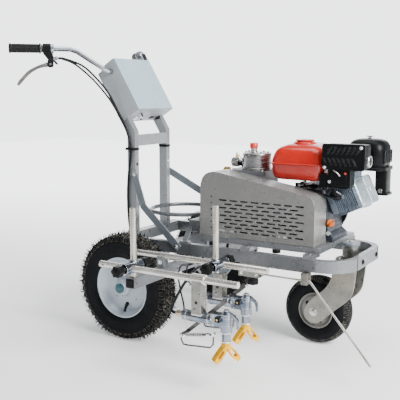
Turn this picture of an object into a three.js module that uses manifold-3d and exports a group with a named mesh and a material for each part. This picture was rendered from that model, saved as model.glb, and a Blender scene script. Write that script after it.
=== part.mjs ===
// A walk-behind line striping machine: an engine and a belt-driven paint pump on a
// two-wheeled frame with a swivelling front castor, and two spray guns carried outboard
// on adjustable rods. Millimetres; +X is forward, +Y is the machine's left, +Z is up.
import * as THREE from 'three';
import { mergeVertices } from 'three/addons/utils/BufferGeometryUtils.js';
import Module from 'manifold-3d';

const wasm = await Module();
wasm.setup();

// ---------------------------------------------------------------- driving dimensions
const GAP = 0.3;                      // clearance left between touching pieces

const REAR_TYRE = { radius: 204, width: 90, rim: 118 };
const TRACK_HALF = 340;               // centre plane of each rear wheel
const CASTOR_TYRE = { radius: 130, width: 84, rim: 68 };
const CASTOR_AXLE_X = 659;
const SWIVEL_X = 778;

const RAIL = { outer: 215, thick: 25, low: 325, high: 370, rear: -154, front: 726 };
const BOW = { nose: 846, radius: 115 };

const POST = { x: -134, depth: 40, y: 114, thick: 25 };
const LEAN = THREE.MathUtils.degToRad(31.5);
const BOX = { x: -97, z: 882, height: 243, half: 123, depth: 62, sheet: 2.5 };
const BAR = { radius: 11, x: -230, z: 1035, bendX: -337, bendY: 240, bendZ: 1125, reach: 248 };

const DECK = { rear: 233, front: 727, half: 180, low: 383, top: 406, sheet: 6 };
const GUARD = { face: -180, back: -70, sheet: 3 };
const SLOTS = { rear: 318, front: 680, low: 428, rows: 9, pitchX: 45, pitchZ: 14.5, length: 33, height: 6 };
const PUMP = { x: 386, shaftX: 345, shaftZ: 525, pulley: 92 };
const CRANK = { x: 625, z: 505, pulley: 38 };
const BELT_Y = -135;
const CYLINDER_TILT = THREE.MathUtils.degToRad(25);
const BLOCK_FACE = -55;
const BOSS = 6;

const ARM = { x: 223, size: 36, end: -612 };
const ROD_RADIUS = 11;
const GUN_1 = { x: 501, y: -617, z: 238 };
const GUN_2 = { x: 480, y: -448, z: 247 };
const CROSS_1 = { x: 223, postY: -590, rodY: -617, z: 362 };
const CROSS_2 = { x: 464, postY: -448, rodY: -420, z: 366 };
const POINTER = { y: -222, z: 294, rear: 436, bend: 712 };

// ---------------------------------------------------------------- geometry helpers
const vec = (x, y, z) => new THREE.Vector3(x, y, z);

function signedVolume(geometry) {
  const p = geometry.attributes.position;
  const index = geometry.index.array;
  let sum = 0;
  for (let i = 0; i < index.length; i += 3) {
    const [a, b, c] = [0, 1, 2].map((k) => new THREE.Vector3().fromBufferAttribute(p, index[i + k]));
    sum += a.dot(b.cross(c));
  }
  return sum;
}

// One shared-vertex mesh with no slivers and with its faces pointing out.
function clean(geometry) {
  const bare = geometry.clone();
  bare.deleteAttribute('normal');
  bare.deleteAttribute('uv');
  const merged = mergeVertices(bare, 1e-3);
  const kept = [];
  const index = merged.index.array;
  for (let i = 0; i < index.length; i += 3) {
    const [a, b, c] = [index[i], index[i + 1], index[i + 2]];
    if (a !== b && b !== c && a !== c) kept.push(a, b, c);
  }
  merged.setIndex(kept);
  if (signedVolume(merged) < 0) {
    for (let i = 0; i < kept.length; i += 3) [kept[i], kept[i + 1]] = [kept[i + 1], kept[i]];
    merged.setIndex(kept);
  }
  return merged;
}

function toSolid(geometry) {
  const g = clean(geometry);
  const vertProperties = Float32Array.from(g.attributes.position.array);
  const triVerts = Uint32Array.from(g.index.array);
  return new wasm.Manifold(new wasm.Mesh({ numProp: 3, vertProperties, triVerts }));
}

function toGeometry(solid) {
  const mesh = solid.getMesh();
  const geometry = new THREE.BufferGeometry();
  geometry.setAttribute('position', new THREE.BufferAttribute(mesh.vertProperties, 3));
  geometry.setIndex(Array.from(mesh.triVerts));
  return geometry;
}

function join(...pieces) {
  return toGeometry(pieces.map(toSolid).reduce((sum, piece) => sum.add(piece)));
}

function cut(body, ...tools) {
  return toGeometry(tools.map(toSolid).reduce((rest, tool) => rest.subtract(tool), toSolid(body)));
}

function block([x0, x1], [y0, y1], [z0, z1]) {
  const geometry = new THREE.BoxGeometry(x1 - x0, y1 - y0, z1 - z0);
  return geometry.translate((x0 + x1) / 2, (y0 + y1) / 2, (z0 + z1) / 2);
}

function rod(from, to, radius, sides = 16, endRadius = radius) {
  const along = to.clone().sub(from);
  const geometry = new THREE.CylinderGeometry(endRadius, radius, along.length(), sides);
  const turn = new THREE.Quaternion().setFromUnitVectors(vec(0, 1, 0), along.clone().normalize());
  geometry.applyQuaternion(turn);
  const middle = from.clone().add(to).multiplyScalar(0.5);
  return geometry.translate(middle.x, middle.y, middle.z);
}

// A flat bar between two points, its width square to Y.
function strap(from, to, width, thickness) {
  const along = to.clone().sub(from);
  const geometry = new THREE.BoxGeometry(along.length(), thickness, width);
  const side = vec(0, 1, 0);
  const x = along.clone().normalize();
  const z = x.clone().cross(side).normalize();
  const y = z.clone().cross(x);
  geometry.applyMatrix4(new THREE.Matrix4().makeBasis(x, y, z));
  const middle = from.clone().add(to).multiplyScalar(0.5);
  return geometry.translate(middle.x, middle.y, middle.z);
}

// A profile of [radius, height] pairs turned about an axis through the origin.
function turned(profile, axis, segments = 24) {
  const points = profile.map(([radius, height]) => new THREE.Vector2(radius, height));
  if (profile[0][0] > 0) points.push(points[0].clone());
  const geometry = new THREE.LatheGeometry(points, segments);
  if (axis === 'z') geometry.rotateX(Math.PI / 2);
  if (axis === 'x') geometry.rotateZ(-Math.PI / 2);
  return clean(geometry);
}

// An outline through corner points, each [x, y] or [x, y, roundness].
function outline(corners) {
  const shape = new THREE.Shape();
  const at = corners.map(([x, y]) => new THREE.Vector2(x, y));
  corners.forEach(([, , round = 0], i) => {
    const here = at[i];
    const before = at[(i + at.length - 1) % at.length];
    const after = at[(i + 1) % at.length];
    const step = (other) => {
      const edge = other.clone().sub(here);
      return here.clone().add(edge.setLength(Math.min(round, edge.length() * 0.48)));
    };
    const [a, b] = round ? [step(before), step(after)] : [here, here];
    if (i === 0) shape.moveTo(a.x, a.y);
    else shape.lineTo(a.x, a.y);
    if (round) shape.quadraticCurveTo(here.x, here.y, b.x, b.y);
  });
  shape.closePath();
  return shape;
}

const extrude = (shape, depth, curveSegments = 5) =>
  new THREE.ExtrudeGeometry(shape, { depth, bevelEnabled: false, curveSegments });

// A side outline in X and Z given a thickness from y0 to y1.
const sidePlate = (shape, y0, y1, curveSegments = 5) =>
  extrude(shape, y1 - y0, curveSegments).rotateX(Math.PI / 2).translate(0, y1, 0);

// A plan outline in X and Y given a thickness from z0 to z1.
const flatPlate = (shape, z0, z1, curveSegments = 5) =>
  extrude(shape, z1 - z0, curveSegments).translate(0, 0, z0);

// Straight runs joined by rounded corners, for bent bars and tubes.
function bentPath(points, bend) {
  const path = new THREE.CurvePath();
  let last = points[0];
  for (let i = 1; i < points.length - 1; i += 1) {
    const corner = points[i];
    const before = corner.clone().add(points[i - 1].clone().sub(corner).setLength(bend));
    const after = corner.clone().add(points[i + 1].clone().sub(corner).setLength(bend));
    path.add(new THREE.LineCurve3(last, before));
    path.add(new THREE.QuadraticBezierCurve3(before, corner, after));
    last = after;
  }
  path.add(new THREE.LineCurve3(last, points[points.length - 1]));
  return path;
}

function tube(path, radius, sides, steps) {
  const section = new THREE.Shape();
  section.absarc(0, 0, radius, 0, 2 * Math.PI, false);
  const options = { steps, extrudePath: path, bevelEnabled: false, curveSegments: sides / 2 };
  return clean(new THREE.ExtrudeGeometry(section, options));
}

const smooth = (points) => new THREE.CatmullRomCurve3(points, false, 'centripetal');

// A hand knob with rounded lobes round its edge, along +Y from the origin.
function starKnob(radius, height, lobes = 6) {
  const shape = new THREE.Shape();
  const count = lobes * 4;
  for (let i = 0; i < count; i += 1) {
    const angle = (i / count) * 2 * Math.PI;
    const r = radius * (0.9 + 0.1 * Math.cos(lobes * angle));
    if (i === 0) shape.moveTo(r, 0);
    else shape.lineTo(r * Math.cos(angle), r * Math.sin(angle));
  }
  return sidePlate(shape, 0, height);
}

// ---------------------------------------------------------------- materials
const FINISHES = {
  frame: { color: 0xa9adb0, roughness: 0.4, metalness: 0.55 },
  zinc: { color: 0xc3c6c8, roughness: 0.3, metalness: 0.9 },
  guard: { color: 0x9d9d98, roughness: 0.5, metalness: 0.3 },
  box: { color: 0xa3a8ab, roughness: 0.5, metalness: 0.2 },
  cover: { color: 0xb9c2c6, roughness: 0.45, metalness: 0.2 },
  black: { color: 0x18181a, roughness: 0.6, metalness: 0 },
  tyre: { color: 0x1b1b1b, roughness: 0.9, metalness: 0 },
  rim: { color: 0xd7dee4, roughness: 0.35, metalness: 0.1 },
  tank: { color: 0xc62a1c, roughness: 0.25, metalness: 0.1 },
  steel: { color: 0xb5b5b3, roughness: 0.3, metalness: 0.95 },
  iron: { color: 0x3b3d40, roughness: 0.6, metalness: 0.5 },
  rodSteel: { color: 0xb8ab97, roughness: 0.35, metalness: 0.8 },
  yellow: { color: 0xe8c113, roughness: 0.45, metalness: 0 },
  red: { color: 0xcf2b23, roughness: 0.4, metalness: 0 },
};

const machine = new THREE.Group();

function add(name, geometry, finish, parent = machine) {
  const mesh = new THREE.Mesh(clean(geometry), new THREE.MeshStandardMaterial(FINISHES[finish]));
  mesh.name = name;
  parent.add(mesh);
  return mesh;
}

// ---------------------------------------------------------------- main frame
function frameRails() {
  const { outer, thick, low, high, rear, front } = RAIL;
  const rail = (side) => block(
    [rear, front],
    side > 0 ? [outer - thick, outer] : [-outer, thick - outer],
    [low, high],
  );
  add('rail_right', rail(-1), 'frame');
  add('rail_left', rail(1), 'frame');
}

// Half-round-cornered outline of the front bow, drawn a given distance inside it.
function bowEdge(path, inset, reverse) {
  const half = RAIL.outer - inset;
  const radius = BOW.radius - inset;
  const centreX = BOW.nose - BOW.radius;
  const centreY = RAIL.outer - BOW.radius;
  const start = RAIL.front + GAP;
  if (!reverse) {
    path.lineTo(start, -half);
    path.absarc(centreX, -centreY, radius, -Math.PI / 2, 0, false);
    path.absarc(centreX, centreY, radius, 0, Math.PI / 2, false);
    path.lineTo(start, half);
    return;
  }
  path.lineTo(start, half);
  path.absarc(centreX, centreY, radius, Math.PI / 2, 0, true);
  path.absarc(centreX, -centreY, radius, 0, -Math.PI / 2, true);
  path.lineTo(start, -half);
}

function frontBow() {
  const ring = new THREE.Shape();
  ring.moveTo(RAIL.front + GAP, -RAIL.outer);
  bowEdge(ring, 0, false);
  bowEdge(ring, RAIL.thick, true);
  add('front_bow', flatPlate(ring, RAIL.low, RAIL.high, 4), 'frame');
}

const HEAD = { radius: 30, bore: 10.4, top: 397, boreTop: 385, plate: 8 };

function castorHead() {
  const inset = RAIL.thick + GAP;
  const shape = new THREE.Shape();
  shape.moveTo(RAIL.front + GAP, inset - RAIL.outer);
  bowEdge(shape, inset, false);
  const plate = flatPlate(shape, RAIL.low, RAIL.low + HEAD.plate, 4);
  const tower = rod(vec(SWIVEL_X, 0, RAIL.low), vec(SWIVEL_X, 0, HEAD.top), HEAD.radius, 24);
  const bore = rod(vec(SWIVEL_X, 0, RAIL.low - 5), vec(SWIVEL_X, 0, HEAD.boreTop), HEAD.bore, 16);
  add('castor_head', cut(join(plate, tower), bore), 'zinc');
}

function rearAxle() {
  const radius = 10;
  const drop = (side) => {
    const inner = side * (RAIL.outer - RAIL.thick - 6);
    const outer = side * RAIL.outer;
    const plate = outline([[-30, RAIL.low - GAP], [-22, 190, 12], [22, 190, 12], [30, RAIL.low - GAP]]);
    return sidePlate(plate, Math.min(inner, outer), Math.max(inner, outer), 3);
  };
  const shaft = rod(vec(0, -TRACK_HALF - 38, 204), vec(0, TRACK_HALF + 38, 204), radius, 16);
  const beam = block([-20, 20], [-RAIL.outer, RAIL.outer], [RAIL.low - 40, RAIL.low - GAP]);
  const collar = (side) => rod(vec(0, side * 205, 204), vec(0, side * 292, 204), 16, 16);
  add('rear_axle', join(beam, drop(-1), drop(1), shaft, collar(-1), collar(1)), 'frame');
}

// ---------------------------------------------------------------- upright and braces
const alongLean = (x, z) => [
  BOX.x + x * Math.cos(LEAN) - z * Math.sin(LEAN),
  BOX.z + x * Math.sin(LEAN) + z * Math.cos(LEAN),
];

function kneeHeight(localX, worldX) {
  const [x, z] = alongLean(localX, 0);
  return z - ((worldX - x) / Math.sin(LEAN)) * Math.cos(LEAN);
}

function upright() {
  const front = POST.x + POST.depth / 2;
  const rear = POST.x - POST.depth / 2;
  const faceX = -BOX.depth - GAP;
  const backX = faceX - POST.depth;
  const reach = 232;
  const side = outline([
    [rear, RAIL.high - 4], [front, RAIL.high - 4], [front, kneeHeight(faceX, front)],
    alongLean(faceX, reach), alongLean(backX, reach), [rear, kneeHeight(backX, rear)],
  ]);
  const post = (sign) => {
    const y = sign * POST.y;
    return sidePlate(side, y - POST.thick / 2, y + POST.thick / 2);
  };
  const inner = RAIL.outer - RAIL.thick - GAP;
  const foot = block([rear, front], [-inner, inner], [RAIL.low, RAIL.high]);
  const plate = block([front - 6, front], [-POST.y, POST.y], [730, 777]);
  add('upright', join(foot, post(-1), post(1), plate), 'frame');
}

function braces() {
  const thick = 5;
  const top = vec(-118, -POST.y - POST.thick / 2 - thick / 2 - GAP, 612);
  const kink = vec(-62, -146, 486);
  const foot = vec(118, -RAIL.outer - thick / 2 - GAP, 386);
  const toe = vec(160, -RAIL.outer - thick / 2 - GAP, 346);
  const right = join(strap(top, kink, 30, thick), rod(kink.clone().add(vec(0, 2.5, 0)),
    kink.clone().add(vec(0, -2.5, 0)), 15, 16), strap(kink, foot, 30, thick), strap(foot, toe, 30, thick));
  add('brace_right', right, 'frame');
  const y = POST.y + POST.thick / 2 + thick / 2 + GAP;
  const left = strap(vec(-122, y, 607), vec(262, y, 423), 30, thick);
  const lug = block([222, 292], [y - thick / 2, y + thick / 2], [DECK.top + GAP, 432]);
  add('brace_left', join(left, lug), 'frame');
}

// ---------------------------------------------------------------- control box
function controlBox() {
  const leaning = new THREE.Group();
  leaning.position.set(BOX.x, 0, BOX.z);
  leaning.rotation.y = -LEAN;
  machine.add(leaning);
  const { half, depth, height, sheet } = BOX;
  const shell = block([-depth, 0], [-half, half], [0, height]);
  const inside = block([sheet - depth, 5], [sheet - half, half - sheet], [sheet, height - sheet]);
  const dx = BAR.x - BOX.x;
  const dz = BAR.z - BOX.z;
  const holeX = dx * Math.cos(LEAN) + dz * Math.sin(LEAN);
  const holeZ = dz * Math.cos(LEAN) - dx * Math.sin(LEAN);
  const hole = rod(vec(holeX, -half - 5, holeZ), vec(holeX, half + 5, holeZ), BAR.radius + 1.6, 16);
  add('control_box', cut(shell, inside, hole), 'box', leaning);
  const cover = outline([[-half, 0, 4], [half, 0, 4], [half, height, 4], [-half, height, 4]]);
  const lid = extrude(cover, 3, 2).rotateX(Math.PI / 2).rotateZ(Math.PI / 2).translate(GAP, 0, 0);
  add('box_cover', lid, 'cover', leaning);
  const toggle = new THREE.Group();
  toggle.position.set(-30, -70, -2);
  toggle.rotation.y = THREE.MathUtils.degToRad(12);
  leaning.add(toggle);
  const stick = join(rod(vec(0, 0, 0), vec(0, 0, -16), 2.5, 10, 4), rod(vec(0, -4, 0), vec(0, 4, 0), 1.4, 8));
  add('box_switch', stick, 'black', toggle);
}

// ---------------------------------------------------------------- handlebar and controls
const bendPoint = (side) => vec(BAR.bendX, side * BAR.bendY, BAR.bendZ);

// Places a piece drawn along +X from the bend out to the end of one handle.
function onHandle(geometry, side) {
  const angle = side < 0 ? -0.75 * Math.PI : 0.75 * Math.PI;
  const at = bendPoint(side);
  return geometry.rotateZ(angle).translate(at.x, at.y, at.z);
}

const handlePoint = (side, along, height) =>
  bendPoint(side).add(vec(-along * Math.SQRT1_2, side * along * Math.SQRT1_2, height));

const LEVER_PIVOT = { along: 94, drop: 62 };
const ADJUSTER = { end: 60, height: -38 };

function perch() {
  const { along, drop } = LEVER_PIVOT;
  const clampRing = rod(vec(along - 16, 0, 0), vec(along + 16, 0, 0), 18, 16);
  const neck = block([along - 12, along + 9], [-12, 12], [-44, -8]);
  const ear = (side) => block([along - 12, along + 9], side < 0 ? [-12, -7.4] : [7.4, 12], [-drop - 11, -42]);
  const adjuster = rod(vec(ADJUSTER.end, 0, ADJUSTER.height), vec(along - 10, 0, ADJUSTER.height), 6, 12);
  return join(clampRing, neck, ear(-1), ear(1), adjuster);
}

function handlebar() {
  const wall = BOX.half;
  const middle = rod(vec(BAR.x, -wall - 6, BAR.z), vec(BAR.x, wall + 6, BAR.z), BAR.radius, 12);
  const arm = (side) => {
    const start = vec(BAR.x, side * (wall - 8), BAR.z);
    const shoulder = vec(BAR.x, side * (wall + 28), BAR.z);
    const path = bentPath([start, shoulder, bendPoint(side), handlePoint(side, BAR.reach, 0)], 24);
    return tube(path, BAR.radius, 8, 15);
  };
  const perches = [onHandle(perch(), -1), onHandle(perch(), 1)];
  add('handlebar', join(middle, arm(-1), arm(1), ...perches), 'zinc');
}

function grip(name, side) {
  const start = 130;
  const stop = BAR.reach + 7;
  const profile = [
    [0, BAR.reach + 1], [BAR.radius + 0.6, BAR.reach + 1], [BAR.radius + 0.6, start], [19, start],
    [19, start + 5], [16, start + 8], [16.5, stop - 12], [18.5, stop - 9], [18, stop - 3], [14, stop], [0, stop],
  ];
  add(name, onHandle(turned(profile, 'x', 12), side), 'black');
}

function brakeLever(name, side) {
  const { along, drop } = LEVER_PIVOT;
  const boss = rod(vec(along, -7, -drop), vec(along, 7, -drop), 9, 14);
  const blade = outline([
    [along - 4, 8 - drop], [along + 8, 9 - drop], [along + 46, -drop - 4, 14], [along + 88, -drop - 24, 20],
    [along + 128, -drop - 68, 8], [along + 136, -drop - 82, 5], [along + 126, -drop - 88, 4],
    [along + 112, -drop - 72, 8], [along + 82, -drop - 38, 20], [along + 44, -drop - 16, 14], [along, -drop - 9],
  ]);
  const lever = join(boss, sidePlate(blade, -5.5, 5.5, 3));
  add(name, onHandle(lever, side), 'zinc');
}

// Two cables from the right lever and one from the left, tied together down the right post.
function controlCables() {
  const radius = 3.5;
  const y = -POST.y - POST.thick / 2 - radius - 6;
  const first = (side) => handlePoint(side, ADJUSTER.end - GAP, ADJUSTER.height);
  const inboard = (side) => handlePoint(side, ADJUSTER.end - 22, ADJUSTER.height - 1);
  const rightA = [first(-1), inboard(-1), vec(-310, -218, 1058), vec(-262, -185, 1005),
    vec(-222, -160, 945), vec(-190, -146, 880), vec(-158, y, 800)];
  const rightB = [handlePoint(-1, ADJUSTER.end - 16, ADJUSTER.height - 1), vec(-335, -240, 1066),
    vec(-290, -208, 1022), vec(-255, -180, 975), vec(-218, -158, 920), vec(-186, -145, 860), vec(-158, y, 775)];
  const left = [first(1), inboard(1), vec(-330, 205, 1010), vec(-318, 120, 950), vec(-290, 0, 900),
    vec(-245, -90, 860), vec(-200, -132, 830), vec(-158, y, 790)];
  const loom = [vec(-164, y, 824), vec(-158, y, 800), vec(-150, y, 760), vec(-147, y, 650), vec(-147, y, 520),
    vec(-146, y - 1, 440), vec(-126, -156, 402), vec(-92, -176, 380), vec(-55, -181, 356), vec(20, -181, 349),
    vec(120, -181, 349), vec(222, -181, 348), vec(245, -181, 339), vec(252, -183, 323), vec(253, -191, 313),
    vec(253, -206, 310), vec(251, -225, 308), vec(249, -256, 306), vec(248, -290, 306)];
  const strands = [
    tube(smooth(rightA), radius, 8, 10), tube(smooth(rightB), radius, 8, 9),
    tube(smooth(left), radius, 8, 12), tube(smooth(loom), radius + 2, 8, 34),
  ];
  add('control_cables', join(...strands), 'black');
}

// ---------------------------------------------------------------- deck and pail rack
function deck() {
  const { rear, front, half, low, top, sheet } = DECK;
  const tray = outline([[rear, -half], [front, -half, 6], [front, half, 6], [rear, half]]);
  const plate = flatPlate(tray, top - sheet, top, 4);
  const apron = block([front - 5, front], [8 - half, half - 8], [low, top - 2]);
  const lip = (side) => block([rear, front], side < 0 ? [-half, 5 - half] : [half - 5, half], [low, top - 2]);
  const rib = (x) => block([x - 17, x + 17], [-half, half], [low + 1, top - 2]);
  const hoseHole = rod(vec(275, -30, 350), vec(275, -30, 450), 14, 14);
  const body = join(plate, apron, lip(-1), lip(1), rib(450), rib(700));
  const foot = (x, side) => block([x - 20, x + 20], side < 0 ? [-214, -150] : [150, 214], [RAIL.high + GAP, low + 2]);
  const feet = [foot(450, -1), foot(450, 1), foot(700, -1), foot(700, 1)];
  add('deck', cut(join(body, ...feet), hoseHole), 'frame');
}

function pailRack() {
  const ring = { x: 70, y: -35, z: 470, radius: 140 };
  const hoopProfile = Array.from({ length: 6 }, (unused, i) => {
    const angle = (i / 6) * 2 * Math.PI;
    return [ring.radius + 6 * Math.cos(angle), 6 * Math.sin(angle)];
  });
  const hoop = turned(hoopProfile, 'z', 28).translate(ring.x, ring.y, ring.z);
  const rear = DECK.rear - GAP;
  const shelf = block([165, rear], [-150, 70], [449, 452]);
  const skirt = block([165, rear], [-150, -147], [410, 451]);
  const wall = block([165, 168], [-150, 70], [410, 451]);
  const prop = (y) => rod(vec(190, y, 450), vec(192, y, ring.z), 5, 10);
  const leg = strap(vec(171, -148.5, 424), vec(176, -200, 374), 22, 5);
  const toe = block([160, 200], [-214, -191], [RAIL.high + GAP, RAIL.high + 7]);
  add('pail_rack', join(hoop, shelf, skirt, wall, prop(-105), prop(36), leg, toe), 'frame');
}

// ---------------------------------------------------------------- belt drive
const GUARD_EDGE = [[234, 404 + 3], [234, 665, 85], [707, 584, 40], [707, 404 + 3]];

function beltGuard() {
  const shell = sidePlate(outline(GUARD_EDGE), GUARD.face, GUARD.back, 6);
  const s = GUARD.sheet;
  const inner = outline([[234 + s, 400], [234 + s, 661.5, 83], [707 - s, 580.5, 38], [707 - s, 400]]);
  const space = sidePlate(inner, GUARD.face + s, GUARD.back + 5, 6);
  const slots = [];
  for (let row = 0; row < SLOTS.rows; row += 1) {
    const z = SLOTS.low + row * SLOTS.pitchZ;
    const stagger = row % 2 ? SLOTS.pitchX / 2 : 0;
    for (let x = SLOTS.rear + stagger; x + SLOTS.length <= SLOTS.front; x += SLOTS.pitchX) {
      slots.push(block([x, x + SLOTS.length], [GUARD.face - 2, GUARD.face + s + 2], [z, z + SLOTS.height]));
    }
  }
  add('belt_guard', cut(shell, space, ...slots), 'guard');
}

function beltDrive() {
  const pulley = (name, x, z, radius, shaftEnd, finish) => {
    const wheel = turned([[0, -13], [radius, -13], [radius, -11], [radius - 7, -2.5], [radius - 7, 2.5],
      [radius, 11], [radius, 13], [0, 13]], 'y', 18).translate(x, BELT_Y, z);
    const shaft = rod(vec(x, BELT_Y - 18, z), vec(x, shaftEnd, z), 12, 14);
    const hub = rod(vec(x, BELT_Y, z), vec(x, BELT_Y + 32, z), 22, 16);
    add(name, join(wheel, shaft, hub), finish);
  };
  pulley('engine_pulley', CRANK.x, CRANK.z, CRANK.pulley, BLOCK_FACE - BOSS - GAP, 'iron');
  pulley('pump_pulley', PUMP.shaftX, PUMP.shaftZ, PUMP.pulley, -62 - GAP, 'iron');
  add('drive_belt', beltLoop(), 'black');
}

// The open loop of a flat-sided belt round two pulleys, resting just off their grooves.
function beltLoop() {
  const loop = (inset) => {
    const big = PUMP.pulley - 5.5 + inset;
    const small = CRANK.pulley - 5.5 + inset;
    const dx = CRANK.x - PUMP.shaftX;
    const dz = CRANK.z - PUMP.shaftZ;
    const line = Math.atan2(dz, dx);
    const open = Math.acos((big - small) / Math.hypot(dx, dz));
    return { big, small, from: line + open, to: line - open };
  };
  const draw = (path, inset) => {
    const { big, small, from, to } = loop(inset);
    path.absarc(PUMP.shaftX, PUMP.shaftZ, big, from, to + 2 * Math.PI, false);
    path.absarc(CRANK.x, CRANK.z, small, to, from, false);
    path.closePath();
  };
  const shape = new THREE.Shape();
  draw(shape, 7);
  const hole = new THREE.Path();
  draw(hole, 0);
  shape.holes.push(hole);
  return sidePlate(shape, BELT_Y - 2, BELT_Y + 2, 9);
}

// ---------------------------------------------------------------- pump
function pump() {
  const floor = DECK.top + GAP;
  const housing = sidePlate(outline([
    [318, floor], [318, 560, 20], [330, 632], [446, 632], [452, 560, 20], [452, floor],
  ]), -62, 62);
  const bearing = rod(vec(PUMP.shaftX, -62, PUMP.shaftZ), vec(PUMP.shaftX, -40, PUMP.shaftZ), 34, 20);
  const flange = flatPlate(outline([[285, -60, 18], [446, -60, 18], [446, 60, 18], [285, 60, 18]]), 630, 650, 3);
  const fitting = rod(vec(244, -10, 641), vec(292, -10, 641), 8, 12);
  add('pump_body', join(housing, bearing, flange, fitting), 'iron');
  const base = 650 + GAP;
  const drum = turned([[0, base], [56, base], [56, 662], [54.5, 664], [56, 666], [56, 712], [52, 718], [0, 718]],
    'z', 24).translate(PUMP.x, 0, 0);
  const port = rod(vec(319, 0, 676), vec(345, 0, 676), 13, 16);
  add('pump_head', join(drum, port), 'steel');
  const knob = turned([[0, 276], [15, 276], [19, 281], [19, 306], [15, 311], [10, 318.6], [0, 318.6]], 'x', 18)
    .translate(0, 0, 676);
  add('pressure_knob', knob, 'steel');
  const valve = turned([[0, 718 + GAP], [11, 718 + GAP], [11, 733], [16, 733], [16, 750], [13, 755], [0, 755]],
    'z', 18).translate(374, -4, 0);
  add('prime_valve', valve, 'red');
}

// One feed hose from the pump down through the deck, parted to both guns.
function paintHose() {
  const y1 = GUN_1.y;
  const rearOf = (gun) => gun.x + HOLDER.nut - GAP;
  const trunk = [vec(318 - GAP, -30, 452), vec(300, -30, 452), vec(284, -30, 444), vec(275, -30, 422),
    vec(275, -30, 380), vec(277, -42, 330), vec(284, -90, 308), vec(292, -170, 305), vec(300, -235, 307)];
  const first = [vec(299, -225, 307), vec(316, -290, 312), vec(342, -370, 324), vec(362, -440, 324), vec(376, -510, 306),
    vec(382, -575, 266), vec(390, y1 + 8, 244), vec(403, y1, GUN_1.z), vec(rearOf(GUN_1), y1, GUN_1.z)];
  const second = [vec(298, -215, 306.5), vec(316, -280, 296), vec(338, -360, 272), vec(358, -425, 252),
    vec(374, GUN_2.y + 4, GUN_2.z), vec(384, GUN_2.y, GUN_2.z), vec(rearOf(GUN_2), GUN_2.y, GUN_2.z)];
  const runs = [
    tube(smooth(trunk), 5, 8, 14), tube(smooth(first), 4.5, 8, 17), tube(smooth(second), 4.5, 8, 11),
  ];
  add('paint_hose', join(...runs), 'black');
}

// ---------------------------------------------------------------- engine
function engineBlock() {
  const floor = DECK.top + GAP;
  const crankcase = sidePlate(outline([
    [548, floor], [548, 424], [566, 440], [556, 520, 30], [570, 612, 30], [690, 616, 20], [704, 520, 20],
    [708, 440], [728, 424], [728, floor],
  ]), BLOCK_FACE, 95, 3);
  const coverDisc = rod(vec(CRANK.x, BLOCK_FACE - BOSS, CRANK.z + 4), vec(CRANK.x, BLOCK_FACE + 5, CRANK.z + 4), 50, 18);
  const axis = vec(Math.cos(CYLINDER_TILT), 0, Math.sin(CYLINDER_TILT));
  const at = (distance, y = 0) => vec(CRANK.x, y, CRANK.z).addScaledVector(axis, distance);
  const barrel = rod(at(60, 8), at(204, 8), 38, 20);
  const finned = Array.from({ length: 6 }, (unused, i) => {
    const fin = new THREE.BoxGeometry(4, 98, 104);
    fin.rotateY(-CYLINDER_TILT);
    const place = at(122 + i * 15, 2);
    return fin.translate(place.x, place.y, place.z);
  });
  const dipstick = rod(vec(700, -42, 470), vec(722, -66, 478), 11, 12);
  add('engine_block', join(crankcase, coverDisc, barrel, ...finned, dipstick), 'iron');
  const cover = new THREE.Group();
  const seat = at(204 + GAP, 2);
  cover.position.copy(seat);
  cover.rotation.y = -CYLINDER_TILT;
  machine.add(cover);
  const lip = flatPlate(outline([[-58, -46, 12], [58, -46, 12], [58, 46, 12], [-58, 46, 12]]), 0, 5, 3);
  const dome = flatPlate(outline([[-52, -40, 16], [52, -40, 16], [52, 40, 16], [-52, 40, 16]]), 3, 40, 3);
  add('valve_cover', join(lip, dome).rotateY(Math.PI / 2), 'zinc', cover);
}

function fuelTank() {
  const plan = outline([[502, -98, 26], [688, -98, 26], [688, 114, 26], [502, 114, 26]]);
  const shell = new THREE.ExtrudeGeometry(plan, {
    depth: 90, bevelEnabled: true, bevelThickness: 25, bevelSize: 13, bevelSegments: 2, curveSegments: 4,
  }).translate(0, 0, 653);
  const seamPlan = outline([[486, -114, 30], [702, -114, 30], [702, 130, 30], [486, 130, 30]]);
  const seam = flatPlate(seamPlan, 688, 692, 4);
  add('fuel_tank', join(shell, seam), 'tank');
  const cap = turned([[0, 768 + GAP], [31, 768 + GAP], [34, 770], [34, 774], [31, 776.5], [0, 776.5]], 'z', 24);
  add('fuel_cap', cap.translate(592, -10, 0), 'tank');
}

function exhaustAndIntake() {
  const shroud = sidePlate(outline([[705, 680, 6], [705, 771, 8], [862, 771, 8], [862, 680, 6]]), -122, -52, 3);
  const body = sidePlate(outline([[712, 612, 8], [712, 700], [820, 700], [820, 640, 8], [800, 612, 8]]), -112, -60, 3);
  add('muffler', join(shroud, body), 'black');
  const box = new THREE.ExtrudeGeometry(
    outline([[745, 20, 26], [872, 20, 26], [872, 142, 26], [745, 142, 26]]),
    { depth: 88, bevelEnabled: true, bevelThickness: 14, bevelSize: 9, bevelSegments: 2, curveSegments: 4 },
  ).translate(0, 0, 680);
  const tray = flatPlate(outline([[733, 8, 30], [886, 8, 30], [886, 153, 30], [733, 153, 30]]), 668, 682, 4);
  const duct = block([836, 880], [70, 132], [575, 672]);
  const inlet = block([708, 740], [62, 92], [622, 676]);
  add('air_cleaner', join(box, tray, duct, inlet), 'black');
  const shell = turned([[0, 95 + GAP], [99, 95 + GAP], [99, 118], [88, 146], [40, 162], [0, 164]], 'y', 28)
    .translate(CRANK.x, 0, CRANK.z + 3);
  add('recoil_starter', shell, 'black');
  const handle = join(block([520, 534], [112, 150], [578, 598]), rod(vec(533, 131, 588), vec(541, 131, 588), 7, 10));
  add('recoil_handle', handle, 'black');
}

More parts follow.
